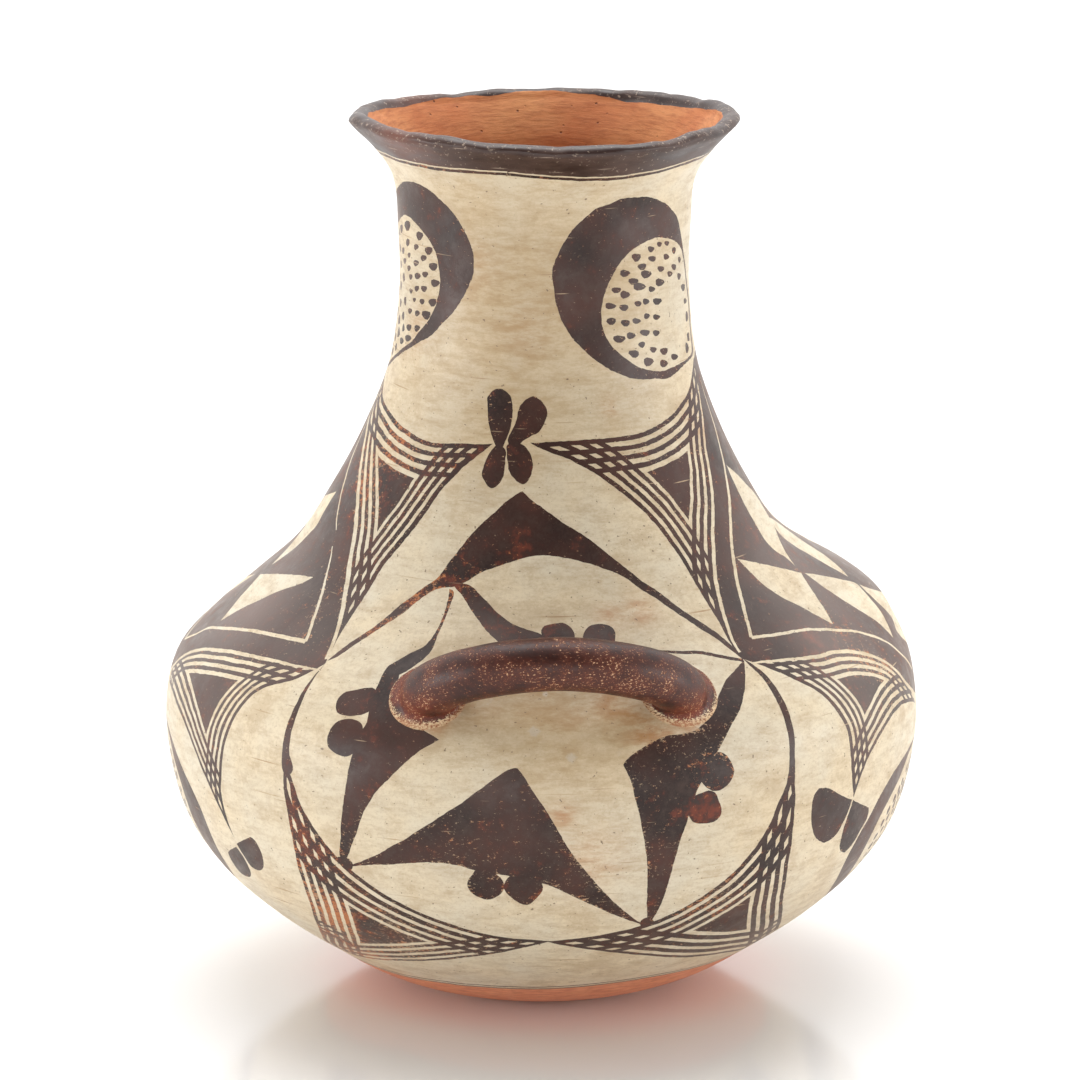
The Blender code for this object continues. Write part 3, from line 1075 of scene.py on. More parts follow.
def drawRings():
    rimEdge = [(-150, 0.3185), (-100, 0.3180), (-75, 0.3179), (-38, 0.3176), (-12, 0.3192), (5, 0.3183),
               (26, 0.3176), (54, 0.3190), (76, 0.3192), (110, 0.3186), (160, 0.3180)]
    edge = ringLine(rimEdge, 0.0)
    above = edge.copy()
    above[:, 1] = float(levelAtHeight(zones["rimBandFrom"] + 0.0012))
    paint(ringBetween(edge, above), "rimPaint")
    innerEdge = [planAt(pixel) for pixel in (
        (368, 113.7), (410, 105.3), (438, 98.9), (466, 96.1), (494, 95.4), (522, 91.2), (540, 90.7),
        (573.5, 93.4), (611, 98.1), (625.7, 102.1), (660.5, 104.8), (700.7, 108.1), (722, 113.5),
    )]
    inside = ((-68, 0.011), (-40, 0.0085), (-12, 0.0105), (20, 0.008), (48, 0.0115), (72, 0.009))
    for azimuth, depth in inside:
        innerEdge.append((around(azimuth), float(levelAt(section["lip"] + depth))))
    innerEdge = ringThrough(innerEdge)
    lipRing = innerEdge.copy()
    lipRing[:, 1] = float(levelAt(section["lip"] + 0.001))
    paint(ringBetween(lipRing, innerEdge), "rimPaint")
    low = zones["creamLine"]
    paint(ringBetween(ringLine(rimEdge, low + zones["brownLine"]), ringLine(rimEdge, low)), "dark")
    foot = [(-150, 0.0165), (-55, 0.0160), (-43, 0.0148), (-24, 0.0156), (2, 0.0167), (28, 0.0188),
            (53, 0.0190), (100, 0.0184), (150, 0.0176)]
    bottom = ringLine(foot, 0.0)
    bottom[:, 1] = float(levelAt(section["foot"]))
    top = ringLine(foot, 0.0)
    slipTop = ringLine(foot, -14.0)
    paint(ringBetween(bottom, slipTop), "slip")
    paint(ringBetween(bottom, top), "redSlip")
    for drop in (-0.1, -2.3):
        paint(ringBetween(ringLine(foot, drop), ringLine(foot, drop - zones["footLine"])), "dark")


drawRings()

# Neck: a crescent with a dotted heart on each of three sides

neckDiscs = {
    "backTurn": 126.5,         # degrees from the right-hand disc to the one at the back
    "seed": 5,
    "seenTo": 70,              # degrees to each side that the photograph shows well
    "dots": (6.2, 3.4),        # mm from dab to dab in the unseen part, and the size of one
    "apart": 4.8,
}


def dotsIn(heart, pitch, size, seed):
    # dabs in rows that follow the edge of the dotted heart
    luck = random.Random(seed)
    made = []
    low, high = heart.min(axis=0), heart.max(axis=0)
    unit = float(mmPerUnit((low[1] + high[1]) / 2))
    middle = (low + high) / 2
    for shrink in np.arange(0.86, 0.05, -pitch / ((high[0] - low[0]) / 2 * unit)):
        ring = middle + (heart - middle) * shrink
        steps = np.linalg.norm(np.roll(ring, -1, axis=0) - ring, axis=1) * unit
        along = np.concatenate([[0.0], np.cumsum(steps)])
        count = max(1, int(along[-1] / (pitch * luck.uniform(0.93, 1.05))))
        for k in range(count):
            at = (k + luck.uniform(-0.12, 0.12)) / count * along[-1] % along[-1]
            x, y = ring[min(np.searchsorted(along, at), len(ring) - 1)]
            dab = size / 2 * luck.uniform(0.85, 1.15) / unit
            corners, start = luck.choice((3, 3, 4)), luck.uniform(0, 6.28)
            points = []
            for i in range(9):
                turn = start + 2 * math.pi * i / 9
                swell = dab * (1 + 0.16 * math.cos(corners * (turn - start)))
                points.append((x + swell * math.cos(turn), y + swell * math.sin(turn)))
            made.append(np.array(points))
    return made


def drawDisc(disc, heart, dabs, turn=0.0):
    away = np.array([around(turn), 0.0])
    for outline, finish in [(disc, "dark"), (heart, "slip")] + [(dab, "dark") for dab in dabs]:
        paint(outline + away, finish)


def dabsAt(places, seed):
    # dabs seen in the photograph: pixel, width and height, each a rounded triangle
    luck = random.Random(seed)
    made = []
    for x, y, wide, tall in places:
        points, phase = [], luck.uniform(0, 2.1)
        for i in range(10):
            turn = 2 * math.pi * i / 10
            swell = 0.5 + 0.06 * math.cos(3 * turn + phase)
            points.append(planAt((x + wide * swell * math.cos(turn), y + tall * swell * math.sin(turn))))
        made.append(np.array(points))
    return made


def unseenDots(heart, dabs):
    # more dots where the photograph doesn't see the heart, clear of the dabs that it shows
    made = []
    for dot in dotsIn(heart, *neckDiscs["dots"], neckDiscs["seed"]):
        x, y = dot.mean(axis=0)
        away = min(math.dist((x, y), dab.mean(axis=0)) for dab in dabs) * float(mmPerUnit(y))
        if abs(x) > around(neckDiscs["seenTo"]) and away > neckDiscs["apart"]:
            made.append(dot)
    return made


def drawNeckDiscs():
    disc = loopOf(
        (680, 229), (676.7, 216.1), (669.4, 207.2), (660.6, 201.1), (650.6, 197.8), (641.7, 196.9),
        (620.6, 199.4), (610.6, 203.9), (596, 209), (571, 232), (554.9, 261.5), (552.7, 280.7),
        (563.1, 324.5), (593, 358.5), (604, 365.6), (615, 372.2), (630.6, 377.8), (650.6, 379.3),
        (668.9, 377.8), (676.7, 372.2), (684, 365), (692.5, 355.5), (693.3, 350), (691.4, 333.3),
        (688.9, 301), (687.2, 284.4), (685.6, 270), (682.2, 243.3),
    )
    heart = loopOf(
        (657.2, 237.8), (666, 238), (671.7, 239.4), (678.3, 244.7), (682, 252.2), (683.7, 262),
        (685.2, 275.6), (686.4, 287), (687.9, 300), (689.3, 320), (690.4, 333.3), (691.5, 351.5),
        (681.7, 362.3), (672.8, 367.5), (657.2, 371.8), (642.8, 368.3), (631.7, 363.3), (620.6, 355),
        (610, 343.9), (603.3, 330), (601.1, 315.6), (602.8, 300), (610, 280), (620, 263.3), (630.6, 251.1),
        (640, 245.6), (650, 240),
    )
    dabs = dabsAt((
        (651, 249.4, 7, 6), (659.4, 244.2, 5, 5), (666.7, 243.3, 5, 5), (674, 250.6, 4, 7),
        (636.3, 257.2, 9, 8), (652.2, 259, 8, 6), (666, 256.7, 6, 6), (679.4, 259.8, 3, 6),
        (642, 266.7, 9, 7), (660.8, 269, 7, 6), (673.7, 267, 5, 6), (624.8, 273, 10, 7), (646, 274.2, 11, 8),
        (669.7, 274, 5, 6), (678.9, 276, 4, 7), (633.5, 281.2, 10, 7), (639.4, 286.6, 12, 8),
        (659.7, 282.2, 9, 8), (651.7, 289, 7, 6), (683, 287, 4, 7), (616, 289.7, 10, 6),
        (624.8, 294.7, 10, 8), (638, 303.3, 7, 6), (645.8, 301.3, 7, 6), (657.2, 301.4, 9, 7),
        (685, 300.6, 3, 6), (610.4, 306, 11, 7), (624, 307.8, 9, 7), (646.7, 316, 6, 6), (656.4, 317, 7, 6),
        (611.5, 321.4, 10, 7), (625.2, 323.3, 9, 7), (636.3, 321.4, 9, 6), (645, 332.6, 10, 6),
        (656, 333, 7, 6), (619, 339.2, 13, 8), (630.8, 335.8, 9, 7), (642, 344.2, 7, 6),
        (653.3, 349.7, 7, 6), (664, 351, 8, 7), (634, 354, 11, 8), (674.4, 356.7, 7, 7), (648.6, 362, 10, 9),
        (663.7, 363.6, 8, 8),
    ), neckDiscs["seed"])
    dabs += unseenDots(heart, dabs)
    drawDisc(disc, heart, dabs)
    drawDisc(disc, heart, dabs, neckDiscs["backTurn"])
    disc = loopOf(
        (401.7, 182.2), (407.2, 181.4), (415, 182.8), (428.3, 189.4), (440.6, 200), (450.6, 210),
        (460.6, 224), (467.8, 237.2), (472.8, 250.6), (474, 261.7), (473.3, 272.8), (469.4, 284.4),
        (460.6, 300.6), (450.6, 315), (440.6, 325.6), (430, 336), (418.3, 342.8), (406, 350.6), (396, 357.4),
        (386, 366.5), ("at", -102, 0.240), ("at", -110, 0.252), ("at", -112, 0.268), ("at", -107, 0.2835),
        ("at", -98, 0.2945), ("at", -88, 0.3005), (397.2, 189),
    )
    heart = loopOf(
        (401.7, 216.7), (405, 215.8), (410, 217.8), (417.2, 225), (425, 234), (431.7, 245), (436.7, 256),
        (439, 267.2), (440, 278.3), (439.4, 289.4), (437.2, 299.4), (434, 309.4), (428.3, 320),
        (419.4, 331.7), (410, 342.3), (396, 353.8), (387, 361), ("at", -98, 0.244), ("at", -103, 0.255),
        ("at", -104, 0.268), ("at", -97, 0.280), ("at", -88, 0.288), (399, 221),
    )
    dabs = dabsAt((
        (407.6, 226, 6, 10), (401.5, 228.3, 2.6, 9), (419.7, 235.6, 7, 9), (407.8, 242.2, 4, 8),
        (416.4, 247, 5, 6), (428.6, 251, 8, 8), (403.3, 250.3, 2.4, 7), (409, 254.8, 3, 5),
        (423.7, 258.3, 6, 6), (405, 260.8, 3, 6), (416, 262.6, 6, 6), (433.4, 266.4, 9, 8),
        (409, 268, 3.4, 6), (417.6, 276, 6, 7), (425, 274.4, 6, 6), (411, 276.7, 3.4, 6), (435, 283.3, 9, 8),
        (416.7, 288.6, 5, 6), (424, 288.6, 6, 6), (411, 290.8, 3, 5), (414.4, 299.4, 3.4, 5),
        (422, 301, 5, 6), (432.4, 302, 8, 8), (410, 310.6, 4, 6), (417.4, 313, 5, 6), (426.3, 314.8, 9, 9),
        (409, 327, 5, 7), (417.2, 328.3, 6, 7), (401.7, 340.6, 4, 7), (408, 338, 6, 7),
    ), neckDiscs["seed"] + 1)
    drawDisc(disc, heart, dabs + unseenDots(heart, dabs))


drawNeckDiscs()

# Side panels: a dark field with a thin cream line along its edges and cream leaves. Its
# seams with the nets are named, because a long cream line follows each of them.

shoulderHub = (742.3, 658.5)
leftHub = (325.2, 663.7)
rightSeam = [
    (693.5, 360), (697.8, 385), (701.8, 412), (704.5, 440), (710.5, 480), (712.6, 503), (712.8, 535),
    (714, 563), (719.5, 598), (726, 622), (733, 640),
]
leftSeam = [
    (383, 372), (380.1, 387.8), (373.6, 404), (366, 434), (361.5, 460), (359.2, 480), (356.3, 520),
    (353.7, 540), (350.5, 560), (347.8, 580), (344.4, 600), (340, 620), (334.5, 640), (328.5, 654),
]
rightShelf = [
    (765, 661.8), (780, 660.3), (804.3, 658), (818, 656), (832.9, 652.3), (846, 651.3), (859.6, 652.7),
    (875, 656.8), (886, 662.3), (897.1, 671.4), (907.9, 685.7),
]
leftShelf = [
    (308, 668), (292.9, 665.2), (266, 658.9), (239.3, 653.4), (222, 650.4), (207, 649.3),
    (194.6, 650.5), (183, 656), (173.2, 666),
]


def drawPanels():
    right = outlineOf(rightSeam, [shoulderHub] + rightShelf, [("at", 90.5, 0.106)], [("at", 90.5, 0.243)])
    left = outlineOf(leftSeam, [leftHub] + leftShelf, [("at", -90.5, 0.116)], [("at", -90.5, 0.236)])
    paintTwice(right, "dark")
    paintTwice(left, "dark")
    for spots, widths in (
        ([(700.4, 380), (714.8, 427), (722.7, 458.5), (729.2, 497.7), (730.5, 520), (732, 546), (739, 589.2),
          (751.4, 637.6)], (0.5, 1.1, 1.5, 1.7, 1.4)),
        ([(751.4, 637.6), (781.5, 633.7), (807.6, 629.7), (833.8, 629.7), (860, 632.4), (886, 641.5),
          (901.8, 654.6), (912, 669)], (1.4, 1.3, 1.3)),
        ([("at", -86.5, 0.2245), ("at", -83, 0.2045), (343.5, 484.6), (336, 530)], (0.6, 1.2, 0.5)),
        ([(332.5, 546), (325.2, 581.4), (317.4, 607.5), (305.6, 641.5)], (0.5, 1.3, 1.5)),
        ([(305.6, 641.5), (280.8, 636.3), (254.6, 631.1), (228.5, 628.4), (207.5, 628.4), ("at", -86, 0.1330),
          ("at", -90, 0.1290)], (1.8, 1.4, 1.3)),
    ):
        paintTwice(strokeOf(spots, widths), "slip")


leafTurn = 26.0                    # plan units by which the tall left leaf is moved on behind


def drawLeaves():
    # three rows of leaves; those that reach past the side are mirrored further round
    tall = outlineOf(
        [(726.6, 465), (738, 475.5), (747, 485), (755.4, 494.5), (762, 505), (768, 515.5), (773, 524),
         (780, 541), (788, 556)],
        [(796, 566.5), (785, 557), (775, 550.5), (765, 540), (755, 523), (745, 505)],
    )
    near = outlineOf(
        [(737.6, 559.1), (760, 563.5), (780, 568)], [(801, 572.5), (811, 589), (820, 602)],
        [(833, 624), (815, 614.5), (800, 606), (780, 596), (763, 584), (748, 570)],
    )
    second = outlineOf(
        [(769, 517.5), (779, 523.5), (789, 531), (800, 539), (820, 552), (835, 563.5)],
        [(848, 577), (830, 566.5), (810, 555), (795, 546), (780, 534)],
    )
    middle = outlineOf(
        [(805, 573), (822, 575.5), (840, 579), (853, 582)],
        [(857, 584), (869, 597), (880, 610.5), (887.5, 624)],
        [(893, 638), (880, 624), (860, 610.5), (840, 598), (821, 585)],
    )
    far = outlineOf(
        [(859.5, 584.5), (870, 588.5), ("at", 98, 0.1430)], [("at", 103.5, 0.1395), ("at", 100, 0.1320)],
        [("at", 93, 0.1240), (897.5, 632), (892.5, 619), (887.5, 612), (878, 602.5), (868, 593)],
    )
    left = outlineOf(
        [(313, 577.4), (296.4, 574.8), (278, 573.8)],
        [(260.5, 574.2), (250, 586), (241.5, 595.5), (232, 607)],
        [(221, 620.5), (240, 609.5), (254.6, 602.3), (280.8, 590.5), (301, 583.5)],
    )
    leftTall = outlineOf(
        [(336.5, 491.5), (327, 495), (320.5, 499), (312, 508), (303, 521), (305, 526), (296, 538),
         (284, 552)],
        [(271.5, 565), (285, 555.5), (296.4, 546.5), (306, 537), (316, 526), (326, 508)],
    )
    leftFar = outlineOf(
        [(255, 574), (246, 575.5), ("at", -101, 0.1500)], [("at", -118, 0.1625), ("at", -114, 0.1500)],
        [("at", -107, 0.1330), (200, 611.5), (208, 605.5), (220, 597.5), (235, 587.5), (245, 580.5)],
    )
    for leaf in (tall, near):
        paintTwice(leaf, "slip")
    for leaf in (second, middle, far, leftTall, leftFar, left, overBack(leftTall) - (leafTurn, 0)):
        paint(leaf, "slip")


def drawShoulder():
    drawNetTwice(
        (((530.5, 442.8), (559.2, 441.5), (598.5, 438.8), (637.7, 433.6), (661.2, 423.1),
          (676.9, 408.8), (687.4, 393.1), (691.3, 380)), 1.7, 3.5, 0.5),
        (rightSeam, -0.8, 3.7, 0.42),
        ((shoulderHub, (726.6, 636.3), (713.5, 612.7), (682.1, 560.4), (650.7, 518.6), (624.6, 495),
          (598.5, 475.5), (572.3, 461), (546.2, 450.6)), 1.8, 3.5, 0.45),
    )
    drawNetTwice(
        (((492.6, 443.6), (476.9, 455.8), (458.6, 471.5), (440.3, 492.4), (419.4, 521.2),
          (398.4, 547.4), (380.1, 570.9), (359.2, 604.9), (343.5, 628.4)), 2.2, 3.4, 0.42),
        ([leftHub] + leftSeam[:0:-1], -0.8, 3.7, 0.47),
        (((383, 372), (382.7, 395.7), (388, 408.8), (398.4, 423.1), (414.1, 434.9), (429.8, 441.5),
          (453.4, 443.5)), 1.7, 3.5, 0.5),
    )


def drawSeams():
    # the long cream lines that stay whole over the hatching
    for spots, widths in (
        (rightSeam[1:] + [(740, 652)], (0.8, 1.5, 1.7, 1.7, 1.2)),
        ([(752, 663)] + rightShelf + [("at", 90.5, 0.106)], (0.9, 1.6, 1.7, 1.6)),
        (leftSeam[1:] + [(326.5, 659)], (0.8, 1.7, 2.0, 2.3, 1.3)),
        ([(320, 670)] + leftShelf + [("at", -90.5, 0.116)], (0.8, 1.5, 1.6, 1.6)),
    ):
        paintTwice(strokeOf(spots, widths), "slip")


# Front and back: the butterfly, the arch, and the figures round the handle


def drawButterfly():
    for wing in (
        loopOf((498.1, 388.5), (488, 396), (487.5, 412), (492.7, 439.1), (499, 451), (506, 440), (512, 420),
               (511.5, 398), (505, 390)),
        loopOf((534, 396), (546.6, 409.6), (541.2, 428.8), (527, 439), (512, 449), (508, 441), (515, 424),
               (521, 405)),
        loopOf((496.5, 445), (485.4, 460.5), (481.8, 476), (492, 488.7), (501, 481), (505.5, 463),
               (504.5, 449)),
        loopOf((507.5, 445), (507.8, 462), (512, 476), (524.2, 484.4), (532.4, 470), (528.9, 451.2),
               (518, 443)),
    ):
        paintTwice(wing, "dark")


def drawArch():
    arch = outlineOf(
        [(327, 661), (340, 650.3), (359.2, 636.8), (380, 622.6), (400, 604.5), (422, 589), (437.7, 577.5),
         (450.7, 560.4), (471.7, 534.3), (492.6, 513.4), (512, 497)],
        [(523, 491), (535.7, 502.9), (559.2, 519.9), (585.4, 536.9), (606.3, 552.6), (640, 579.5),
         (660, 593.5), (680, 608), (700, 621.7), (720, 635.7), (735, 648)],
        [shoulderHub, (732, 650.5), (720, 641.5), (700, 628.7), (680, 615), (660, 601.5), (640, 588.5),
         (624.6, 577.5), (598.5, 567), (572.3, 559.1), (546.2, 555.2), (529.2, 556.5), (503, 564.4),
         (476.9, 574.8), (458.6, 585.3), (437.7, 589.2), (422, 598), (400, 615), (380, 628.3), (359.2, 642),
         (340, 655)],
    )
    paintTwice(arch, "dark")


def drawFigures():
    left = outlineOf(
        [(449.1, 588.7), (443.4, 614.5), (427.6, 643.2), (407.5, 654.7), (387.4, 667.6), (376.8, 687.5)],
        [(367, 722.3), (351.8, 755.4), (344.6, 792.9), (340.2, 837.5), (340.2, 857)],
        [(343.8, 866), (355, 836.8), (363.9, 811.8), (376.4, 792.1), (408.6, 760)],
        [(439, 740), (416.1, 723.6), (400.3, 706.4)],
        [(398.9, 674.8), (430.4, 651.8), (439, 631.7), (446.2, 614.5), (453.4, 591.6)],
    )
    bottom = outlineOf(
        [(517.5, 768), (508.6, 769.8), (458.6, 804.6), (405, 838.6), (369.3, 858.2)],
        [(341.6, 867), (387.1, 864.5), (440.7, 862.7), (476.4, 870.7), (542.5, 883.2), (575.7, 897.5),
         (611.4, 913.6)],
        [(645.4, 926), (629.3, 915.4), (611.4, 899.3), (575.7, 858.2), (544.3, 808.2)],
    )
    right = outlineOf(
        [(743.5, 660), (736.4, 667.9), (725.7, 680.4), (716.8, 700), (697.3, 729), (660, 738), (628.5, 758)],
        [(623, 765), (629.3, 777.9), (642.7, 831.4), (647.1, 867.1), (647.1, 902.9)],
        [(648, 926), (661.4, 902.9), (675.7, 856.4), (687.3, 820.7)],
        [(699, 786), (717.7, 751.8), (729.3, 728.6), (741.8, 701.8), (745.4, 671.4)],
    )
    top = outlineOf(
        [(452, 584), (470.6, 585.8), (485, 600.2), (499.3, 614.5), (513.7, 624.6), (542.4, 636)],
        [(585, 690), (540, 672), (495, 638.9)],
        [(485, 628.9), (476.4, 617.4), (464.9, 600.2)],
    )
    for figure in (left, bottom, right, top):
        paintTwice(figure, "dark")
    for centre, wide, tall, seed in (
        ((357, 701.8), 16.0, 12.5, 1), ((344.6, 736.6), 14.5, 13.5, 2),
        ((485.4, 884.6), 12.3, 14.2, 3), ((523.8, 888.2), 13.0, 15.0, 4),
        ((705, 808), 13.5, 12.5, 5), ((717, 772), 14.5, 13.0, 6),
        ((558, 635), 11.5, 12.0, 7), ((600, 637), 12.0, 12.5, 8),
    ):
        paintTwice(blobOf(centre, wide, tall, 0.3, seed), "dark")
    twig = [(640, 650), (669, 652), (703, 653), (722, 656.5), (743, 660)]
    paintTwice(strokeOf(twig, (0.8, 1.5, 1.6)), "dark")


drawPanels()
drawLeaves()
drawShoulder()
drawButterfly()
drawArch()
drawFigures()

# Lower body: the ring round the front field, and nets below and beside it


def drawLowerBody():
    paintTwice(outlineOf(
        [leftHub, (305.4, 687.5), (292.9, 710.7), (285.7, 730.4), (282.1, 751.8), (282.1, 768)],
        [(286, 776), (292.9, 769.6), (289.3, 751.8), (291, 733.9), (298.2, 710.7), (309.8, 685.7)],
    ), "dark")
    paintTwice(outlineOf(
        [shoulderHub, (752.5, 664), (765, 674), (775.4, 687), (784.9, 703), (790.7, 719), (794.3, 737),
         (795.4, 757), (795.2, 775)],
        [(794.6, 790), (787, 786), (788.5, 775), (789.8, 757), (788.9, 741), (785.3, 723), (779.9, 707),
         (771.5, 691), (763, 679)],
    ), "dark")
    for knot in (
        [(338, 857), (348.5, 858.5), (353, 865), (349, 871), (341, 867)],
        [(640, 922), (647, 917.5), (654, 921.5), (652, 928), (645, 930.5)],
    ):
        paintTwice(loopOf(*knot), "dark")
    drawNetTwice(
        (((284, 768), (290.7, 775), (303.2, 810), (333.6, 852.9), (372.9, 886.8), (422.9, 913.6),
          (494.3, 935.9), (530, 939.5)), 2.0, 4.9, 0.40),
        (((550, 941), (512.1, 950.2), (458.6, 958.2), (405, 960.9), (351.4, 953.8),
          (333.6, 945.7)), 1.5, 3.6, 0.45),
        (((323, 937), (308.6, 899.3), (292.5, 840.4), (283.6, 783.2)), 1.7, 3.9, 0.42, 5),
    )
    drawNetTwice(
        (((791.5, 768), (788.5, 779), (784, 790), (778.5, 802), (772.5, 819), (762.5, 837), (745.4, 860),
          (718.6, 885), (665, 917), (611.4, 933.2), (575.7, 938.6)), 2.2, 4.7, 0.40),
        (((545.4, 941.3), (593.6, 950.2), (647.1, 955.5), (682.9, 957.3), (718.6, 953.8),
          (754.3, 945.7)), 1.8, 5.0, 0.42),
        (((777.5, 928.8), (783, 900), (787.6, 868), (790.5, 850), (793, 828), (794.4, 808),
          (795, 785)), 1.8, 4.1, 0.42),
    )
    drawNetTwice(
        ([shoulderHub] + rightShelf, -0.8, 3.3, 0.52),
        (((915, 703), (906, 702.7), (898.9, 707.1), (888.2, 721.4), (870.4, 753.6),
          (861.4, 775)), 1.5, 3.3, 0.48),
        (((853.5, 798), (851.5, 770), (847.5, 732), (841, 718), (832, 704.5), (819, 692.5), (801, 682.5),
          (783, 674)), 2.0, 3.4, 0.48),
    )
    drawNetTwice(
        (((169.6, 682), (183.9, 721.4), (205.4, 776.8), (228.6, 826.8)), 1.5, 3.3, 0.48),
        (((237, 843.5), (226.8, 817.9), (221.4, 792.9), (221.4, 769.6), (225, 742.9), (242.9, 705.4),
          (260.7, 689.3), (296.4, 678.6)), 1.7, 3.3, 0.48),
        ([leftHub] + leftShelf, -0.8, 3.3, 0.5),
    )
    pendants = [
        outlineOf([(818.6, 788.6), (831, 789.5), (842, 795.5)],
                  [(852, 799.8), (848.6, 810), (843.4, 822), (836.4, 833.9)],
                  [(824, 843), (815, 836.5), (811, 820), (812.3, 803), (814.5, 795)]),
        outlineOf([(852.8, 800.2)], [(868.6, 807.6), (867, 818), (860, 831), (853, 843)],
                  [(844.5, 852.5), (840, 849), (841.5, 836.5), (846.4, 820), (851.2, 806)]),
        outlineOf([(236.6, 843.8)], [(250, 836.6), (255.4, 841), (262.5, 855.4), (263.4, 866), (258.9, 870.5),
                  (251.8, 867), (244.6, 857.1)]),
        outlineOf([(235.7, 846.4)], [(227.7, 851.8), (233.9, 864.3), (241, 873.2), (249, 876.8),
                  (250.4, 871.4), (244.6, 858.9)]),
    ]
    for pendant in pendants:
        paintTwice(pendant, "dark")


sideDots = (5.0, 3.3)              # mm from dab to dab, and the size of one


def drawSideDiscs():
    # crescents with dots low on both sides, each mirrored at the side
    for about, disc, heart, seed in (
        (90.0,
         (("at", 90, 0.0985), (914.6, 733.9), (909.6, 746.4), (890, 778.6), (868.6, 817.9), (847.1, 857.1),
          (823, 898), ("at", 76, 0.031), ("at", 90, 0.028)),
         (("at", 90, 0.0945), (907.9, 755.4), (900.7, 775), (879.3, 817.9), (861.4, 853.6), (843.6, 880),
          ("at", 79, 0.040), ("at", 90, 0.037)), 11),
        (-90.0,
         (("at", -90, 0.1045), (167.9, 723.2), (176.8, 753.6), (201.8, 810.7), (221.4, 855.4), (230.4, 869.6),
          ("at", -76, 0.040), ("at", -90, 0.036)),
         (("at", -90, 0.1005), (168.8, 732.1), ("at", -76, 0.0890), ("at", -73.4, 0.0790),
          ("at", -72.4, 0.0680), ("at", -71.8, 0.0580), ("at", -73, 0.0500), ("at", -77, 0.0448),
          ("at", -83, 0.0420), ("at", -90, 0.0412)), 12),
    ):
        heart = closedOver(curveOf(heart), about)
        drawDisc(closedOver(curveOf(disc), about), heart, dotsIn(heart, *sideDots, seed))


drawSideDiscs()
drawLowerBody()
drawSeams()

plan, triangles, finish = makeSkinPlan(shapes)
print("plan cut:", len(plan), "points,", len(triangles), "triangles")

# Materials. Patterns sit on Object coordinates, with their sizes in millimetres.


def newMaterial(name):
    material = bpy.data.materials.new(name)
    material.use_nodes = True
    material.node_tree.nodes.clear()
    return material, material.node_tree


def perMm(size):
    # noise scale for a pattern whose features are this many millimetres apart
    return 1000.0 / size


def scratches(tree, coords, turn, apartMm, length, kept):
    # short straight marks, where flat flakes of space cut the surface: a tenth of apartMm
    # wide and "length" times as long, kept for some of the flakes only
    laid = addNode(tree, "Mapping", {
        "Vector": coords, "Rotation": turn, "Scale": (1 / length, 1 / length, 1),
    })[0]
    flakes = addNode(tree, "TexVoronoi", {"Vector": laid, "Scale": perMm(apartMm)})
    luck = addNode(tree, "SeparateColor", {0: flakes["Color"]})[0]
    luck = addNode(tree, "Math", {0: luck, 1: kept}, operation="LESS_THAN")[0]
    near = addNode(tree, "MapRange", {0: flakes["Distance"], 1: 0.09, 2: 0.20, 3: 1.0, 4: 0.0})[0]
    return addNode(tree, "Math", {0: near, 1: luck}, operation="MULTIPLY")[0]


def finishSurface(tree, look, ground, layers, reliefs, matt=None):
    # the look's colours laid over its ground by their masks; reliefs one on another, each
    # as strength, depth in metres (below nought where it is sunk) and pattern; and a
    # pattern that takes the roughness from its first value to its second
    colour = look[ground]
    for mask, over in layers:
        over = look[over] if isinstance(over, str) else over
        colour = addNode(tree, "Mix", {0: mask, 6: colour, 7: over}, data_type="RGBA")[2]
    shader = {"Base Color": colour, **look["shader"]}
    if matt:
        ends = enumerate((*matt, *look["roughness"]))
        shader["Roughness"] = addNode(tree, "MapRange", dict(ends))[0]
    for strength, depth, pattern in reliefs:
        relief = {"Strength": strength, "Distance": abs(depth), "Height": pattern}
        if "Normal" in shader:
            relief["Normal"] = shader["Normal"]
        shader["Normal"] = addNode(tree, "Bump", relief, invert=depth < 0)[0]
    surface = addNode(tree, "BsdfPrincipled", shader)[0]
    addNode(tree, "OutputMaterial", {"Surface": surface})


slipLook = {
    "cool": "#D3C8B1",
    "warm": "#D9C8A9",
    "tan": "#AC9473",
    "ochre": "#A07E57",
    "scratch": "#8E6A48",
    "speck": "#5E4634",
    "stain": "#B06A35",
    # painted shade: the darker tone laid under the handle and on the front of the neck
    "shadeTone": "#A38558",
    "pock": "#BEB19C",
    "patchMm": 38.0,
    "mottleMm": 7.0,
    "wornMm": 14.0,
    "grainMm": 1.1,
    "scrapeMm": 1.6,
    "speckMm": 1.3,
    "roughness": (0.36, 0.56),
    "shader": {"IOR": 1.48},
}


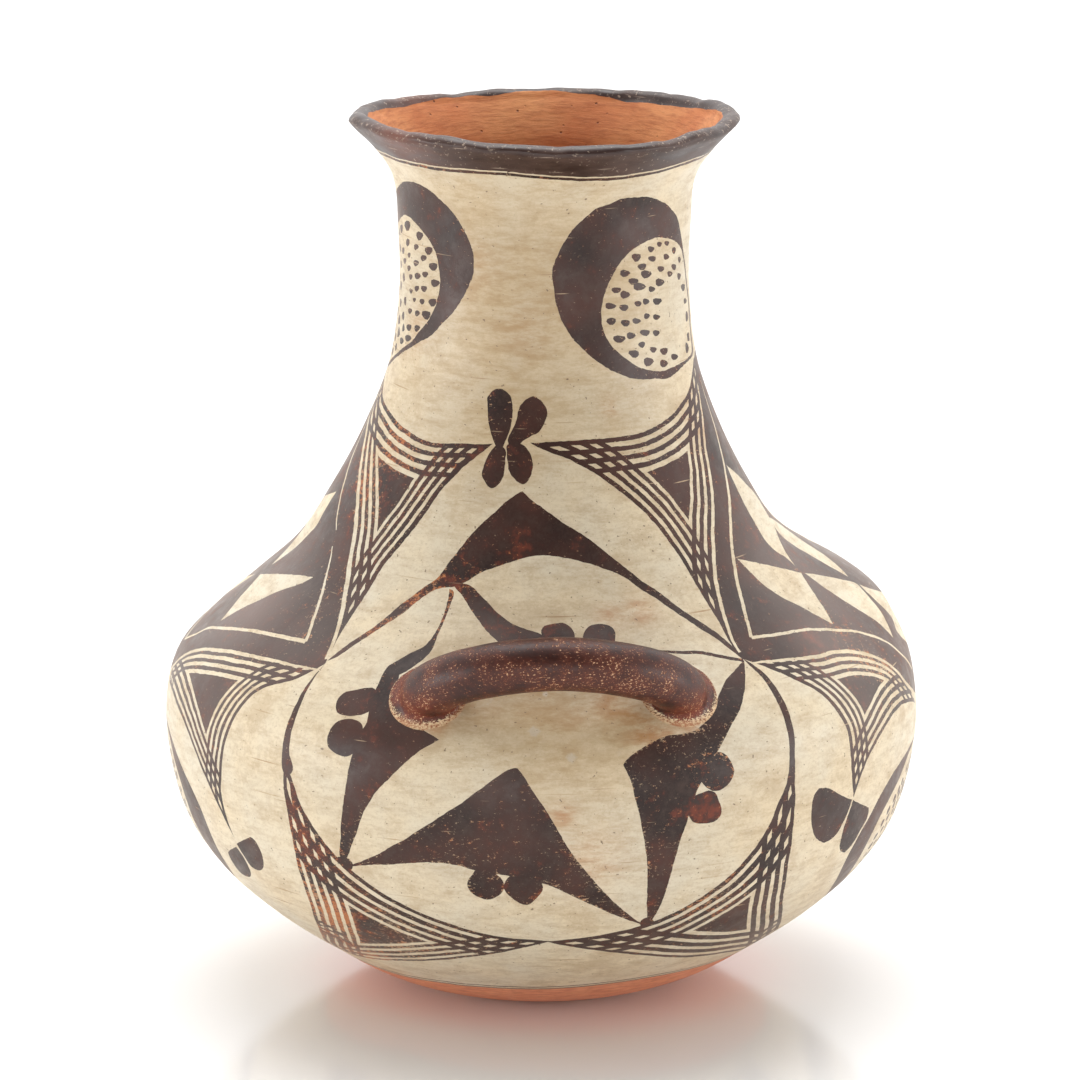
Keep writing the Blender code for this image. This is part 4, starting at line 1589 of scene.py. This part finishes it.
def polishedCreamSlip():
    # thin kaolin slip rubbed with a stone: soft gloss, warm clouds, rubbed patches where the
    # clay glows through, level scrape marks, fine grit, rusty stains where "stain" says, and painted shade,
    # darker slip under the handle and on the front of the neck
    look = slipLook
    material, tree = newMaterial("polished_cream_slip")
    coords = addNode(tree, "TexCoord")["Object"]
    flat = addNode(tree, "Mapping", {"Vector": coords, "Scale": (0.55, 0.55, 1.9)})[0]
    patches, mottle, handling, grain, grit = (
        addNode(tree, "TexNoise", {"Vector": at, "Scale": perMm(mm), "Detail": detail, "Roughness": rough})[0]
        for at, mm, detail, rough in (
            (coords, look["patchMm"], 4.0, 0.6), (flat, look["mottleMm"], 7.0, 0.78),
            (coords, look["wornMm"], 8.0, 0.75), (coords, look["grainMm"], 3.0, 0.8),
            (coords, look["speckMm"], 1.0, 0.4),
        )
    )
    warmth = addNode(tree, "MapRange", {0: patches, 1: 0.38, 2: 0.62})[0]
    clouds = addNode(tree, "MapRange", {0: mottle, 1: 0.45, 2: 0.68, 4: 0.62})[0]
    rubbed = addNode(tree, "Math", {0: patches, 1: 0.5, 2: handling}, operation="MULTIPLY_ADD")[0]
    rubbed = addNode(tree, "MapRange", {0: rubbed, 1: 0.78, 2: 0.90, 4: 0.42})[0]

    # what the wear and stain spots bring, and the painted shade spots
    stained, paintedShade, pocked = (
        addNode(tree, "Attribute", attribute_name=name)["Fac"] for name in ("stain", "paintedShade", "pocked")
    )
    soaked = addNode(tree, "MapRange", {0: mottle, 1: 0.36, 2: 0.60, 4: 1.1})[0]
    stained = addNode(tree, "Math", {0: stained, 1: soaked}, operation="MULTIPLY")[0]
    # painted shade, made patchy by the mottle
    shadeMottle = addNode(tree, "MapRange", {0: mottle, 1: 0.30, 2: 0.62, 3: 0.55, 4: 1.1})[0]
    paintedShade = addNode(tree, "Math", {0: paintedShade, 1: shadeMottle}, operation="MULTIPLY")[0]
    pocked = addNode(tree, "Math", {0: pocked, 1: handling}, operation="MULTIPLY")[0]
    pocked = addNode(tree, "MapRange", {0: pocked, 1: 0.26, 2: 0.33, 4: 0.8})[0]

    # marks of scraping and of use, then grain and grit
    level = scratches(tree, coords, (0, 0, 0), look["scrapeMm"], 34, 0.22)
    level = addNode(tree, "Math", {0: level, 1: warmth}, operation="MULTIPLY")[0]
    slant = scratches(tree, coords, (0.3, 0.52, 0.2), look["scrapeMm"] * 0.7, 26, 0.06)
    slant = addNode(tree, "Math", {0: slant, 1: 0.5}, operation="MULTIPLY")[0]
    grains = addNode(tree, "MapRange", {0: grain, 1: 0.50, 2: 0.72, 4: 0.46})[0]
    grit = addNode(tree, "Math", {0: mottle, 1: 0.20, 2: grit}, operation="MULTIPLY_ADD")[0]
    grit = addNode(tree, "MapRange", {0: grit, 1: 0.835, 2: 0.87, 4: 0.7})[0]
    layers = [
        (warmth, "warm"), (clouds, "tan"), (rubbed, "tan"), (stained, "stain"), (paintedShade, "shadeTone"),
        (pocked, "pock"), (level, "ochre"), (slant, "scratch"), (grains, "tan"), (grit, "speck"),
    ]
    reliefs = [(0.5, 0.00022, mottle), (0.5, -0.00007, level), (0.4, 0.00006, grain)]
    finishSurface(tree, look, "cool", layers, reliefs, (mottle, 0.35, 0.7))
    return material


paintLook = {
    "deep": "#25140F",
    "brown": "#46281F",
    "bloom": "#5C483F",
    # painted sheen: the pale grey of grazing reflections on the side panels
    "dustAndSheen": "#93827A",
    "rust": "#74331E",
    "chipPale": "#BFA483",
    "chipOrange": "#B9713F",
    "patchMm": 24.0,
    "rustMm": 6.0,
    "chipMm": 1.25,
    "scratchMm": 1.2,
    "roughness": (0.34, 0.55),
    "shader": {"IOR": 1.42, "Sheen Weight": 0.28, "Sheen Roughness": 0.32, "Sheen Tint": "#F2DCC8"},
}


def darkMineralPaint():
    # iron and plant paint, brushed thin: brown-black with a grey bloom, rusty where it is
    # thin, flaked in pin-pricks down to the slip and the orange clay, and a painted sheen of pale grey on the
    # side panels
    look = paintLook
    material, tree = newMaterial("dark_mineral_paint")
    coords = addNode(tree, "TexCoord")["Object"]
    brushed = addNode(tree, "Mapping", {
        "Vector": coords, "Rotation": (0.2, 0.35, 0), "Scale": (0.75, 0.75, 1.35),
    })[0]
    patches, rusty, flakes = (
        addNode(tree, "TexNoise", {"Vector": at, "Scale": perMm(mm), "Detail": detail, "Roughness": rough})[0]
        for at, mm, detail, rough in (
            (coords, look["patchMm"], 4.0, 0.62), (coords, look["rustMm"], 5.0, 0.7),
            (brushed, look["chipMm"], 3.0, 0.85),
        )
    )
    worn, washed, paintedSheen, edge = (
        addNode(tree, "Attribute", attribute_name=name)["Fac"] for name in ("worn", "washed", "paintedSheen", "edge")
    )
    spread = addNode(tree, "MapRange", {0: patches, 1: 0.38, 2: 0.62})[0]
    bloom = addNode(tree, "MapRange", {0: rusty, 1: 0.52, 2: 0.30, 3: 0.0, 4: 0.35})[0]
    thin = addNode(tree, "Math", {0: washed, 1: 0.24, 2: rusty}, operation="MULTIPLY_ADD")[0]
    thin = addNode(tree, "MapRange", {0: thin, 1: 0.60, 2: 0.80, 4: 0.85})[0]
    # painted sheen: pale grey laid on the side panels as grazing reflection, made patchy by the rust noise
    sheenMottle = addNode(tree, "MapRange", {0: rusty, 1: 0.30, 2: 0.62, 3: 0.75, 4: 1.1})[0]
    paintedSheen = addNode(tree, "Math", {0: paintedSheen, 1: sheenMottle}, operation="MULTIPLY")[0]

    # flakes: fine noise over a limit that falls where the paint is worn, and at its edges
    frayed = addNode(tree, "Math", {0: worn, 1: 0.11, 2: 0.055}, operation="MULTIPLY_ADD")[0]
    frayed = addNode(tree, "Math", {0: edge, 1: frayed}, operation="MULTIPLY")[0]
    flakes = addNode(tree, "Math", {0: worn, 1: 0.115, 2: flakes}, operation="MULTIPLY_ADD")[0]
    flakes = addNode(tree, "Math", {0: flakes, 1: frayed}, operation="ADD")[0]
    flakes = addNode(tree, "Math", {0: rusty, 1: 0.26, 2: flakes}, operation="MULTIPLY_ADD")[0]
    flakes = addNode(tree, "MapRange", {0: flakes, 1: 0.79, 2: 0.86, 4: 0.85})[0]
    under = addNode(tree, "Math", {0: washed, 1: 0.3, 2: rusty}, operation="MULTIPLY_ADD")[0]
    under = addNode(tree, "MapRange", {0: under, 1: 0.48, 2: 0.68})[0]
    under = addNode(tree, "Mix", {0: under, 6: look["chipPale"], 7: look["chipOrange"]}, data_type="RGBA")[2]
    lines = scratches(tree, coords, (0.4, 0.7, 0.2), look["scratchMm"], 22, 0.03)
    finer = scratches(tree, coords, (-0.9, -0.5, 0.1), look["scratchMm"] * 0.8, 16, 0.04)
    lines = addNode(tree, "Math", {0: lines, 1: finer}, operation="MAXIMUM")[0]
    lines = addNode(tree, "Math", {0: lines, 1: spread}, operation="MULTIPLY")[0]
    layers = [
        (spread, "brown"), (bloom, "bloom"), (thin, "rust"), (paintedSheen, "dustAndSheen"), (flakes, under),
        (lines, "chipPale"),
    ]
    reliefs = [(0.6, -0.00006, flakes), (0.5, 0.00016, rusty)]
    finishSurface(tree, look, "deep", layers, reliefs, (rusty, 0.3, 0.7))
    return material


redLook = {
    "red": "#C87350",
    "orange": "#E59D74",
    "scuff": "#A0593C",
    "streakMm": 5.0,
    "scuffMm": 4.0,
    "roughness": (0.42, 0.60),
    "shader": {"IOR": 1.48},
}


def redSlip(name, scuffs):
    # iron-red slip wiped on with a cloth: level streaks; under the base it is scuffed bare
    look = redLook
    material, tree = newMaterial(name)
    coords = addNode(tree, "TexCoord")["Object"]
    level = addNode(tree, "Mapping", {"Vector": coords, "Scale": (0.6, 0.6, 5.0)})[0]
    streaks = addNode(tree, "TexNoise", {
        "Vector": level, "Scale": perMm(look["streakMm"]), "Detail": 5.0, "Roughness": 0.65,
    })[0]
    mixed = addNode(tree, "MapRange", {0: streaks, 1: 0.35, 2: 0.65})[0]
    rubbed = addNode(tree, "TexNoise", {"Vector": coords, "Scale": perMm(look["scuffMm"]), "Detail": 6.0})[0]
    rubbed = addNode(tree, "MapRange", {0: rubbed, 1: 0.52, 2: 0.66, 4: scuffs})[0]
    layers = [(mixed, "orange"), (rubbed, "scuff")]
    finishSurface(tree, look, "red", layers, [(0.5, 0.00015, streaks)], (streaks, 0.3, 0.7))
    return material


lipLook = {
    "deep": "#2B1610",
    "grey": "#533D34",
    "dustAndSheen": "#B19C89",
    "rust": "#7B4430",
    "patchMm": 14.0,
    "dustMm": 1.5,
    "rubMm": 1.3,
    "roughness": (0.30, 0.55),
    "shader": {"IOR": 1.48},
    "dustHeights": (0.3235, 0.3295),
}


def wornLipPaint():
    # the same paint on the lip, rubbed by hands: greyer and glossier, with pale knocks
    look = lipLook
    material, tree = newMaterial("worn_lip_paint")
    coords = addNode(tree, "TexCoord")["Object"]
    level = addNode(tree, "Mapping", {"Vector": coords, "Scale": (0.7, 0.7, 2.6)})[0]
    patches = addNode(tree, "TexNoise", {
        "Vector": level, "Scale": perMm(look["patchMm"]), "Detail": 6.0, "Roughness": 0.7,
    })[0]
    grey = addNode(tree, "MapRange", {0: patches, 1: 0.38, 2: 0.72})[0]
    worn = addNode(tree, "Attribute", attribute_name="worn")["Fac"]
    worn = addNode(tree, "Math", {0: worn, 1: patches}, operation="MULTIPLY")[0]
    height = addNode(tree, "SeparateXYZ", {0: coords})[2]
    low, high = look["dustHeights"]
    crest = addNode(tree, "MapRange", {0: height, 1: low, 2: high, 3: 0.0, 4: 0.055})[0]
    knocks = addNode(tree, "TexNoise", {
        "Vector": coords, "Scale": perMm(look["dustMm"]), "Detail": 3.0, "Roughness": 0.75,
    })[0]
    knocks = addNode(tree, "Math", {0: knocks, 1: crest}, operation="ADD")[0]
    knocks = addNode(tree, "Math", {0: patches, 1: 0.2, 2: knocks}, operation="MULTIPLY_ADD")[0]
    knocks = addNode(tree, "MapRange", {0: knocks, 1: 0.735, 2: 0.82, 4: 0.75})[0]
    rubs = scratches(tree, coords, (0, 0, 0), look["rubMm"], 14, 0.35)
    knocks = addNode(tree, "Math", {0: rubs, 1: 0.45, 2: knocks}, operation="MULTIPLY_ADD")[0]
    layers = [(grey, "grey"), (worn, "rust"), (knocks, "dustAndSheen")]
    reliefs = [(0.6, 0.00025, patches), (0.6, -0.0001, knocks)]
    finishSurface(tree, look, "deep", layers, reliefs, (patches, 0.3, 0.7))
    return material


clayLook = {
    "orange": "#BE7040",
    "pale": "#D08D58",
    "brown": "#8E4822",
    "pit": "#6B3820",
    "wipeMm": 3.6,
    "wipeTurn": (math.radians(24), math.radians(-32), 0),
    "cloudMm": 26.0,
    "pitMm": 4.5,
    "shader": {"Roughness": 0.78, "IOR": 1.48},
}


def bareOrangeClay():
    # fired clay inside, wiped with wet fingers: slanting wipe marks, clouds and small pits
    look = clayLook
    material, tree = newMaterial("bare_orange_clay")
    coords = addNode(tree, "TexCoord")["Object"]
    clouds = addNode(tree, "TexNoise", {
        "Vector": coords, "Scale": perMm(look["cloudMm"]), "Detail": 5.0, "Roughness": 0.6,
    })[0]
    spread = addNode(tree, "MapRange", {0: clouds, 1: 0.35, 2: 0.68})[0]
    slanted = addNode(tree, "Mapping", {
        "Vector": coords, "Rotation": look["wipeTurn"], "Scale": (0.45, 0.45, 3.4),
    })[0]
    wipes = addNode(tree, "TexNoise", {
        "Vector": slanted, "Scale": perMm(look["wipeMm"]), "Detail": 5.0, "Roughness": 0.7,
    })[0]
    dark = addNode(tree, "MapRange", {0: wipes, 1: 0.44, 2: 0.70, 4: 0.65})[0]
    pits = addNode(tree, "TexVoronoi", {"Vector": coords, "Scale": perMm(look["pitMm"])})
    chosen = addNode(tree, "SeparateColor", {0: pits["Color"]})[0]
    chosen = addNode(tree, "Math", {0: chosen, 1: 0.55}, operation="GREATER_THAN")[0]
    pit = addNode(tree, "MapRange", {0: pits["Distance"], 1: 0.06, 2: 0.14, 3: 0.9, 4: 0.0})[0]
    pit = addNode(tree, "Math", {0: pit, 1: chosen}, operation="MULTIPLY")[0]
    layers = [(spread, "pale"), (dark, "brown"), (pit, "pit")]
    finishSurface(tree, look, "orange", layers, [(0.8, 0.0004, wipes), (0.8, -0.0005, pit)])
    return material


gripLook = {
    "deep": "#2F120A",
    "brown": "#512314",
    "red": "#78321F",
    "chipOrange": "#A8663F",
    "chipPale": "#D9B48E",
    "halo": "#D3BA94",
    "patchMm": 11.0,
    "chipMm": 0.65,
    "haloDepth": (0.0034, 0.0039),
    "haloBelow": (0.1290, 0.1400, 0.0016),
    "ragged": 0.0050,
    "redDepth": (0.002, 0.016),
    "roughness": (0.36, 0.58),
    "shader": {"IOR": 1.42},
}


def wornHandlePaint():
    # paint on the grips, polished by hands: glossy maroon, peppered with rubbed-through
    # clay, redder towards the roots, and short of the wall so that a cream edge shows
    look = gripLook
    material, tree = newMaterial("worn_handle_paint")
    coords = addNode(tree, "TexCoord")["Object"]
    patches = addNode(tree, "TexNoise", {
        "Vector": coords, "Scale": perMm(look["patchMm"]), "Detail": 5.0, "Roughness": 0.65,
    })[0]
    spread = addNode(tree, "MapRange", {0: patches, 1: 0.36, 2: 0.66})[0]
    offWall = addNode(tree, "Attribute", attribute_name="offWall")["Fac"]
    low, high = look["redDepth"]
    redder = addNode(tree, "MapRange", {0: offWall, 1: low, 2: high, 3: 0.75, 4: 0.05})[0]
    redder = addNode(tree, "Math", {0: redder, 1: spread}, operation="MULTIPLY")[0]
    lengthwise = addNode(tree, "Mapping", {"Vector": coords, "Scale": (0.55, 1.0, 1.0)})[0]
    flakes = addNode(tree, "TexNoise", {
        "Vector": lengthwise, "Scale": perMm(look["chipMm"]), "Detail": 2.0, "Roughness": 0.8,
    })[0]
    flakes = addNode(tree, "Math", {0: patches, 1: 0.45, 2: flakes}, operation="MULTIPLY_ADD")[0]
    rubbed = addNode(tree, "MapRange", {0: flakes, 1: 0.80, 2: 0.90, 4: 0.62})[0]
    bare = addNode(tree, "MapRange", {0: flakes, 1: 0.885, 2: 0.93, 4: 0.9})[0]

    # the cream edge at the wall, ragged, and wider low down
    lowest, level, wider = look["haloBelow"]
    height = addNode(tree, "SeparateXYZ", {0: coords})[2]
    below = addNode(tree, "MapRange", {0: height, 1: lowest, 2: level, 3: wider, 4: 0.0})[0]
    below = addNode(tree, "Math", {0: below, 1: patches}, operation="MULTIPLY")[0]
    ragged = addNode(tree, "Math", {0: offWall, 1: below}, operation="SUBTRACT")[0]
    ragged = addNode(tree, "Math", {0: flakes, 1: look["ragged"], 2: ragged}, operation="MULTIPLY_ADD")[0]
    low, high = look["haloDepth"]
    halo = addNode(tree, "MapRange", {0: ragged, 1: low, 2: high, 3: 1.0, 4: 0.0})[0]
    crust = addNode(tree, "MapRange", {0: flakes, 1: 0.62, 2: 0.80, 4: 0.85})[0]
    crust = addNode(tree, "Mix", {0: crust, 6: look["halo"], 7: look["chipOrange"]}, data_type="RGBA")[2]
    layers = [
        (spread, "brown"), (redder, "red"), (rubbed, "chipOrange"), (bare, "chipPale"), (halo, crust),
    ]
    reliefs = [(0.7, -0.0001, rubbed), (0.5, 0.0003, patches)]
    finishSurface(tree, look, "deep", layers, reliefs, (flakes, 0.6, 0.88))
    return material


materials = [
    polishedCreamSlip(), darkMineralPaint(), redSlip("wiped_red_slip", 0.25), wornLipPaint(),
    bareOrangeClay(), redSlip("scuffed_red_underside", 0.8), wornHandlePaint(),
]
print("materials made:", len(materials))

# Wear, stains, painted shade and painted sheen: soft spots on the surface, as (pixel, reach in mm, strength)

wear = {
    "worn": [      # flaked
        ((352, 950), 22, 1.0), ((335, 915), 16, 0.9), ((385, 935), 18, 0.8), ((305, 850), 22, 0.6),
        ((425, 592), 16, 0.7), ((395, 620), 14, 0.6), ((460, 570), 16, 0.4), ((365, 480), 20, 0.5),
        ((400, 440), 20, 0.5), ((440, 452), 12, 0.4), ((700, 745), 16, 0.75), ((664, 742), 10, 0.6),
        ((590, 885), 22, 0.5), ((470, 860), 22, 0.45), ((520, 850), 22, 0.3), ((655, 850), 14, 0.45),
        ((640, 780), 9, 0.5), ((600, 890), 18, 0.4), ((470, 865), 16, 0.35), ((560, 850), 16, 0.3),
        ((395, 140), 14, 1.0), ((870, 655), 16, 0.6), ((850, 640), 14, 0.5), ((760, 500), 20, 0.35),
        ((320, 900), 12, 0.8), ((700, 900), 16, 0.5), ((480, 945), 20, 0.4), ((325, 600), 16, 0.3),
    ],
    "washed": [    # thin enough for the red clay to glow through
        ((352, 950), 24, 0.9), ((335, 915), 18, 0.9), ((300, 840), 20, 0.7), ((425, 592), 16, 0.7),
        ((395, 620), 14, 0.6), ((450, 572), 12, 0.6), ((520, 556), 10, 0.5), ((470, 600), 10, 0.5),
        ((500, 622), 12, 0.5), ((545, 636), 9, 0.5), ((600, 637), 9, 0.35), ((717, 772), 9, 0.5),
        ((705, 808), 10, 0.9), ((365, 480), 22, 0.6), ((400, 440), 22, 0.6), ((450, 455), 14, 0.5),
        ((500, 465), 8, 0.3), ((395, 140), 12, 1.0), ((690, 900), 18, 0.4), ((400, 700), 12, 0.35),
        ((523, 888), 8, 0.3), ((760, 520), 30, 0.35), ((830, 645), 26, 0.45),
    ],
    "stain": [
        ((612, 707), 7, 1.0), ((626, 712), 7, 0.9), ((645, 728), 8, 0.9), ((662, 735), 7, 0.7),
        ((610, 408), 3, 0.6), ((436, 720), 5, 1.0), ((446, 712), 4, 0.7), ((424, 716), 4, 0.6),
        ((570, 715), 9, 0.35), ((610, 618), 6, 0.5), ((640, 611), 6, 0.55), ((562, 816), 5, 0.6),
        ((690, 725), 6, 0.6), ((480, 698), 8, 0.5), ((540, 700), 10, 0.4), ((700, 420), 10, 0.4),
        ((590, 860), 12, 0.35), ((470, 270), 10, 0.35), ((420, 330), 9, 0.3), ((520, 330), 10, 0.3),
    ],
    # painted sheen: pale grey laid on oblique paint, mostly on the side panels
    "paintedSheen": [
        ((250, 610), 36, 0.42), ((300, 640), 26, 0.25), ((805, 590), 34, 0.40), ((835, 645), 26, 0.45),
        ((770, 560), 26, 0.22), ((395, 235), 26, 0.22), ((860, 700), 24, 0.3), ((230, 700), 24, 0.25),
        ((475, 655), 14, 0.2), ((470, 740), 18, 0.18),
    ],
    "pocked": [    # pale scars in the slip
        ((534, 731), 3.6, 0.85), ((571, 758), 3.6, 0.8), ((490, 702), 3.2, 0.8), ((546, 695), 3.2, 0.7),
        ((620, 752), 3.2, 0.7),
    ],
    # painted shade: darker slip under the handle and on the front of the neck
    "paintedShade": [
        ((530, 300), 46, 0.72), ((500, 400), 38, 0.58), ((480, 230), 28, 0.55), ((620, 405), 24, 0.45),
        ((540, 705), 26, 0.8), ((470, 700), 20, 0.65), ((620, 720), 20, 0.65), ((560, 760), 28, 0.5),
        ((600, 600), 26, 0.25), ((430, 380), 24, 0.3), ((760, 800), 26, 0.15), ((650, 800), 20, 0.15),
    ],
}


def spotField(spots, places):
    # how much of each kind of spot (wear, stain, painted shade, painted sheen) each place has, on the seen
    # half and mirrored behind
    field = np.zeros(len(places))
    for pixel, reach, strength in spots:
        centre = planToForm(np.array([planAt(pixel)]))[0]
        for side in (1, -1):
            away = np.linalg.norm(places - centre * (1, side, 1), axis=1) * 1000 / reach
            field = np.maximum(field, strength * np.exp(-away ** 2))
    return field


# Wrapping the plan, and closing it with the handles into one skin

atlas = {                      # shares of the OFBake map
    "bodyShare": 0.92,
    "barWide": 0.17,
    "barTall": 0.07,
    "barPitch": 0.2,
    "barStart": (0.01, 0.998),
}
weld = {"gap": 0.000004, "poleReach": 0.003, "longestWalk": 60}  # metres, and vertices


def flatSkin():
    moved = brushShake(plan)
    points = np.column_stack([moved[:, 0] / planScale, alongAt(moved[:, 1]), np.zeros(len(moved))])
    mesh = makeFlat("skin", points, triangles)
    mesh.attributes.new("finish", "INT", "FACE").data.foreach_set("value", finish.astype(np.int32))
    places = planToForm(moved)
    for name, spots in wear.items():
        field = spotField(spots, places).astype(np.float32)
        mesh.attributes.new(name, "FLOAT", "POINT").data.foreach_set("value", field)
    low, high = np.full(len(plan), len(finishes)), np.full(len(plan), -1)
    np.minimum.at(low, triangles.ravel(), np.repeat(finish, 3))
    np.maximum.at(high, triangles.ravel(), np.repeat(finish, 3))
    mesh.attributes.new("edge", "FLOAT", "POINT").data.foreach_set("value", (low < high).astype(np.float32))
    mesh.attributes.new("offWall", "FLOAT", "POINT")
    layer = mesh.uv_layers.new(name="OFBake")
    corners = points[triangles.ravel()]
    wide = corners[:, 0] / (2 * math.pi) + 0.5
    tall = corners[:, 1] / section["along"][-1] * atlas["bodyShare"]
    layer.data.foreach_set("uv", np.column_stack([wide, tall]).ravel().astype(np.float32))
    return mesh


def walkBoundary(start, goal, allowed):
    # boundary vertices from one corner of a hole to the next one, the short way round
    best = None
    for edge in start.link_edges:
        if not edge.is_boundary:
            continue
        chain, last = [start], edge.other_vert(start)
        while last is not goal and len(chain) < weld["longestWalk"] and last.index not in allowed:
            chain.append(last)
            onward = [e for e in last.link_edges if e.is_boundary and e.other_vert(last) is not chain[-2]]
            if not onward:
                break
            last = onward[0].other_vert(last)
        if last is goal and (best is None or len(chain) < len(best)):
            best = chain
    if best is None:
        raise ValueError("a handle's root doesn't meet its hole")
    return best[1:]


def joinBars(mesh, paintSlot):
    work = bmesh.new()
    work.from_mesh(mesh)
    loose = [vertex for vertex in work.verts if not vertex.link_faces]
    bmesh.ops.delete(work, geom=loose, context="VERTS")
    edge = [vertex for vertex in work.verts if vertex.is_boundary]
    bmesh.ops.remove_doubles(work, verts=edge, dist=weld["gap"])
    rim = [vertex for vertex in work.verts if vertex.is_boundary]
    poles = {v for v in rim if math.hypot(v.co.x, v.co.y) < weld["poleReach"]}
    poleEdges = [e for e in work.edges if e.is_boundary and poles.intersection(e.verts)]
    bmesh.ops.holes_fill(work, edges=poleEdges, sides=0)
    work.verts.index_update()
    rim = [vertex for vertex in work.verts if vertex.is_boundary]
    tree = nearestTo([vertex.co for vertex in rim])
    offWall = work.verts.layers.float["offWall"]
    uv = work.loops.layers.uv["OFBake"]
    for number, rings in enumerate(bars.values()):
        made = [[work.verts.new(point) for point in ring] for ring in rings[1:-1]]
        for ring in made:
            for vertex in ring:
                vertex[offWall] = max(wallBelow(vertex.co)[2], 0.0)
        for j, (first, second) in enumerate(zip(made, made[1:])):
            for k in range(handle["sides"]):
                n = (k + 1) % handle["sides"]
                face = work.faces.new([first[k], first[n], second[n], second[k]])
                face.material_index = paintSlot
                for loop, (a, b) in zip(face.loops, ((j, k), (j, k + 1), (j + 1, k + 1), (j + 1, k))):
                    wide, tall = atlas["barStart"]
                    wide += number * atlas["barPitch"] + atlas["barWide"] * a / len(made)
                    tall -= atlas["barTall"] * (1 - b / handle["sides"])
                    loop[uv].uv = (wide, tall)
        for end, ring in ((rings[0], made[0]), (rings[-1], made[-1])):
            foot = [rim[tree.find(point)[1]] for point in end]
            allowed = {vertex.index for vertex in foot}
            for k in range(handle["sides"]):
                n = (k + 1) % handle["sides"]
                chain = walkBoundary(foot[k], foot[n], allowed)
                face = work.faces.new([ring[k], foot[k]] + chain + [foot[n], ring[n]])
                face.material_index = paintSlot
    bmesh.ops.recalc_face_normals(work, faces=work.faces)
    bmesh.ops.triangulate(work, faces=[face for face in work.faces if len(face.verts) > 4])
    for face in work.faces:
        face.smooth = True
    print("open or doubled edges left:", len([e for e in work.edges if not e.is_manifold]))
    work.to_mesh(mesh)
    work.free()


vaseMesh = onForm(flatSkin(), materials)
handlePaint = materials[finishes.index("handlePaint")]
if handlePaint not in list(vaseMesh.materials):
    vaseMesh.materials.append(handlePaint)
joinBars(vaseMesh, list(vaseMesh.materials).index(handlePaint))
vase = newObject("painted_vase", vaseMesh)
print("vase skin:", len(vaseMesh.polygons), "faces")
bpy.data.objects.remove(sectionItem)

# Floor and light

studio = {
    "floorSize": 14.0,
    "board": {"white": "#F6F4F2", "shader": {"Roughness": 0.13}},
    "backdrop": 0.97,          # the white behind the vase as the eye sees it
    "glowBehind": 1.45,        # bright walls behind and beside the vase
    "glowInFront": 0.08,       # the room in front is darker
    "panels": {                # place, size and watts
        "left panel": ((-2.4, -0.9, 0.35), (1.8, 1.0), 34),
        "right panel": ((2.4, -0.7, 0.35), (1.8, 1.0), 30),
        "top panel": ((0.0, 1.0, 3.0), (2.5, 2.0), 70),
        "low panel": ((0.0, -2.2, 0.06), (2.4, 0.5), 16),
    },
}


def paleBoard():
    # sprayed board: nearly white, with a soft sheen that mirrors the foot
    material, tree = newMaterial("pale_sprayed_board")
    finishSurface(tree, studio["board"], "white", [], [])
    return material


def makeFloor():
    mesh = bpy.data.meshes.new("floor")
    half = studio["floorSize"] / 2
    corners = [(-half, -half, 0), (half, -half, 0), (half, half, 0), (-half, half, 0)]
    mesh.from_pydata(corners, [], [(0, 1, 2, 3)])
    mesh.materials.append(paleBoard())
    floor = newObject("floor", mesh)


def makePanel(name, place, size, watts):
    data = bpy.data.lights.new(name, "AREA")
    data.shape = "RECTANGLE"
    data.size, data.size_y = size
    data.energy = watts
    light = newObject(name, data)
    light.location = place
    aim = Vector((0, 0, form["bellyHeight"])) - Vector(place)
    light.rotation_euler = aim.to_track_quat("-Z", "Y").to_euler()


def makeWorld():
    # a white studio that is bright behind and beside the vase and dimmer in front of it
    world = bpy.data.worlds.new("studio")
    world.use_nodes = True
    tree = world.node_tree
    tree.nodes.clear()
    way = addNode(tree, "TexCoord")["Generated"]
    way = addNode(tree, "SeparateXYZ", {0: way})[1]
    glow = addNode(tree, "MapRange", {
        0: way, 1: -0.9, 2: 0.5, 3: studio["glowInFront"], 4: studio["glowBehind"],
    }, interpolation_type="SMOOTHSTEP")[0]
    walls = addNode(tree, "Background", {"Color": "#FFFFFF", "Strength": glow})[0]
    white = addNode(tree, "Background", {"Color": "#FFFFFF", "Strength": studio["backdrop"]})[0]
    seen = addNode(tree, "LightPath")["Is Camera Ray"]
    surround = addNode(tree, "MixShader", {0: seen, 1: walls, 2: white})[0]
    addNode(tree, "OutputWorld", {"Surface": surround})
    bpy.context.scene.world = world


makeFloor()
for name, (place, size, watts) in studio["panels"].items():
    makePanel(name, place, size, watts)
makeWorld()
bpy.context.scene.view_settings.view_transform = "Standard"
print("floor, panels and world made")

# What rides on what

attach(vase, "root")
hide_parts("vase")
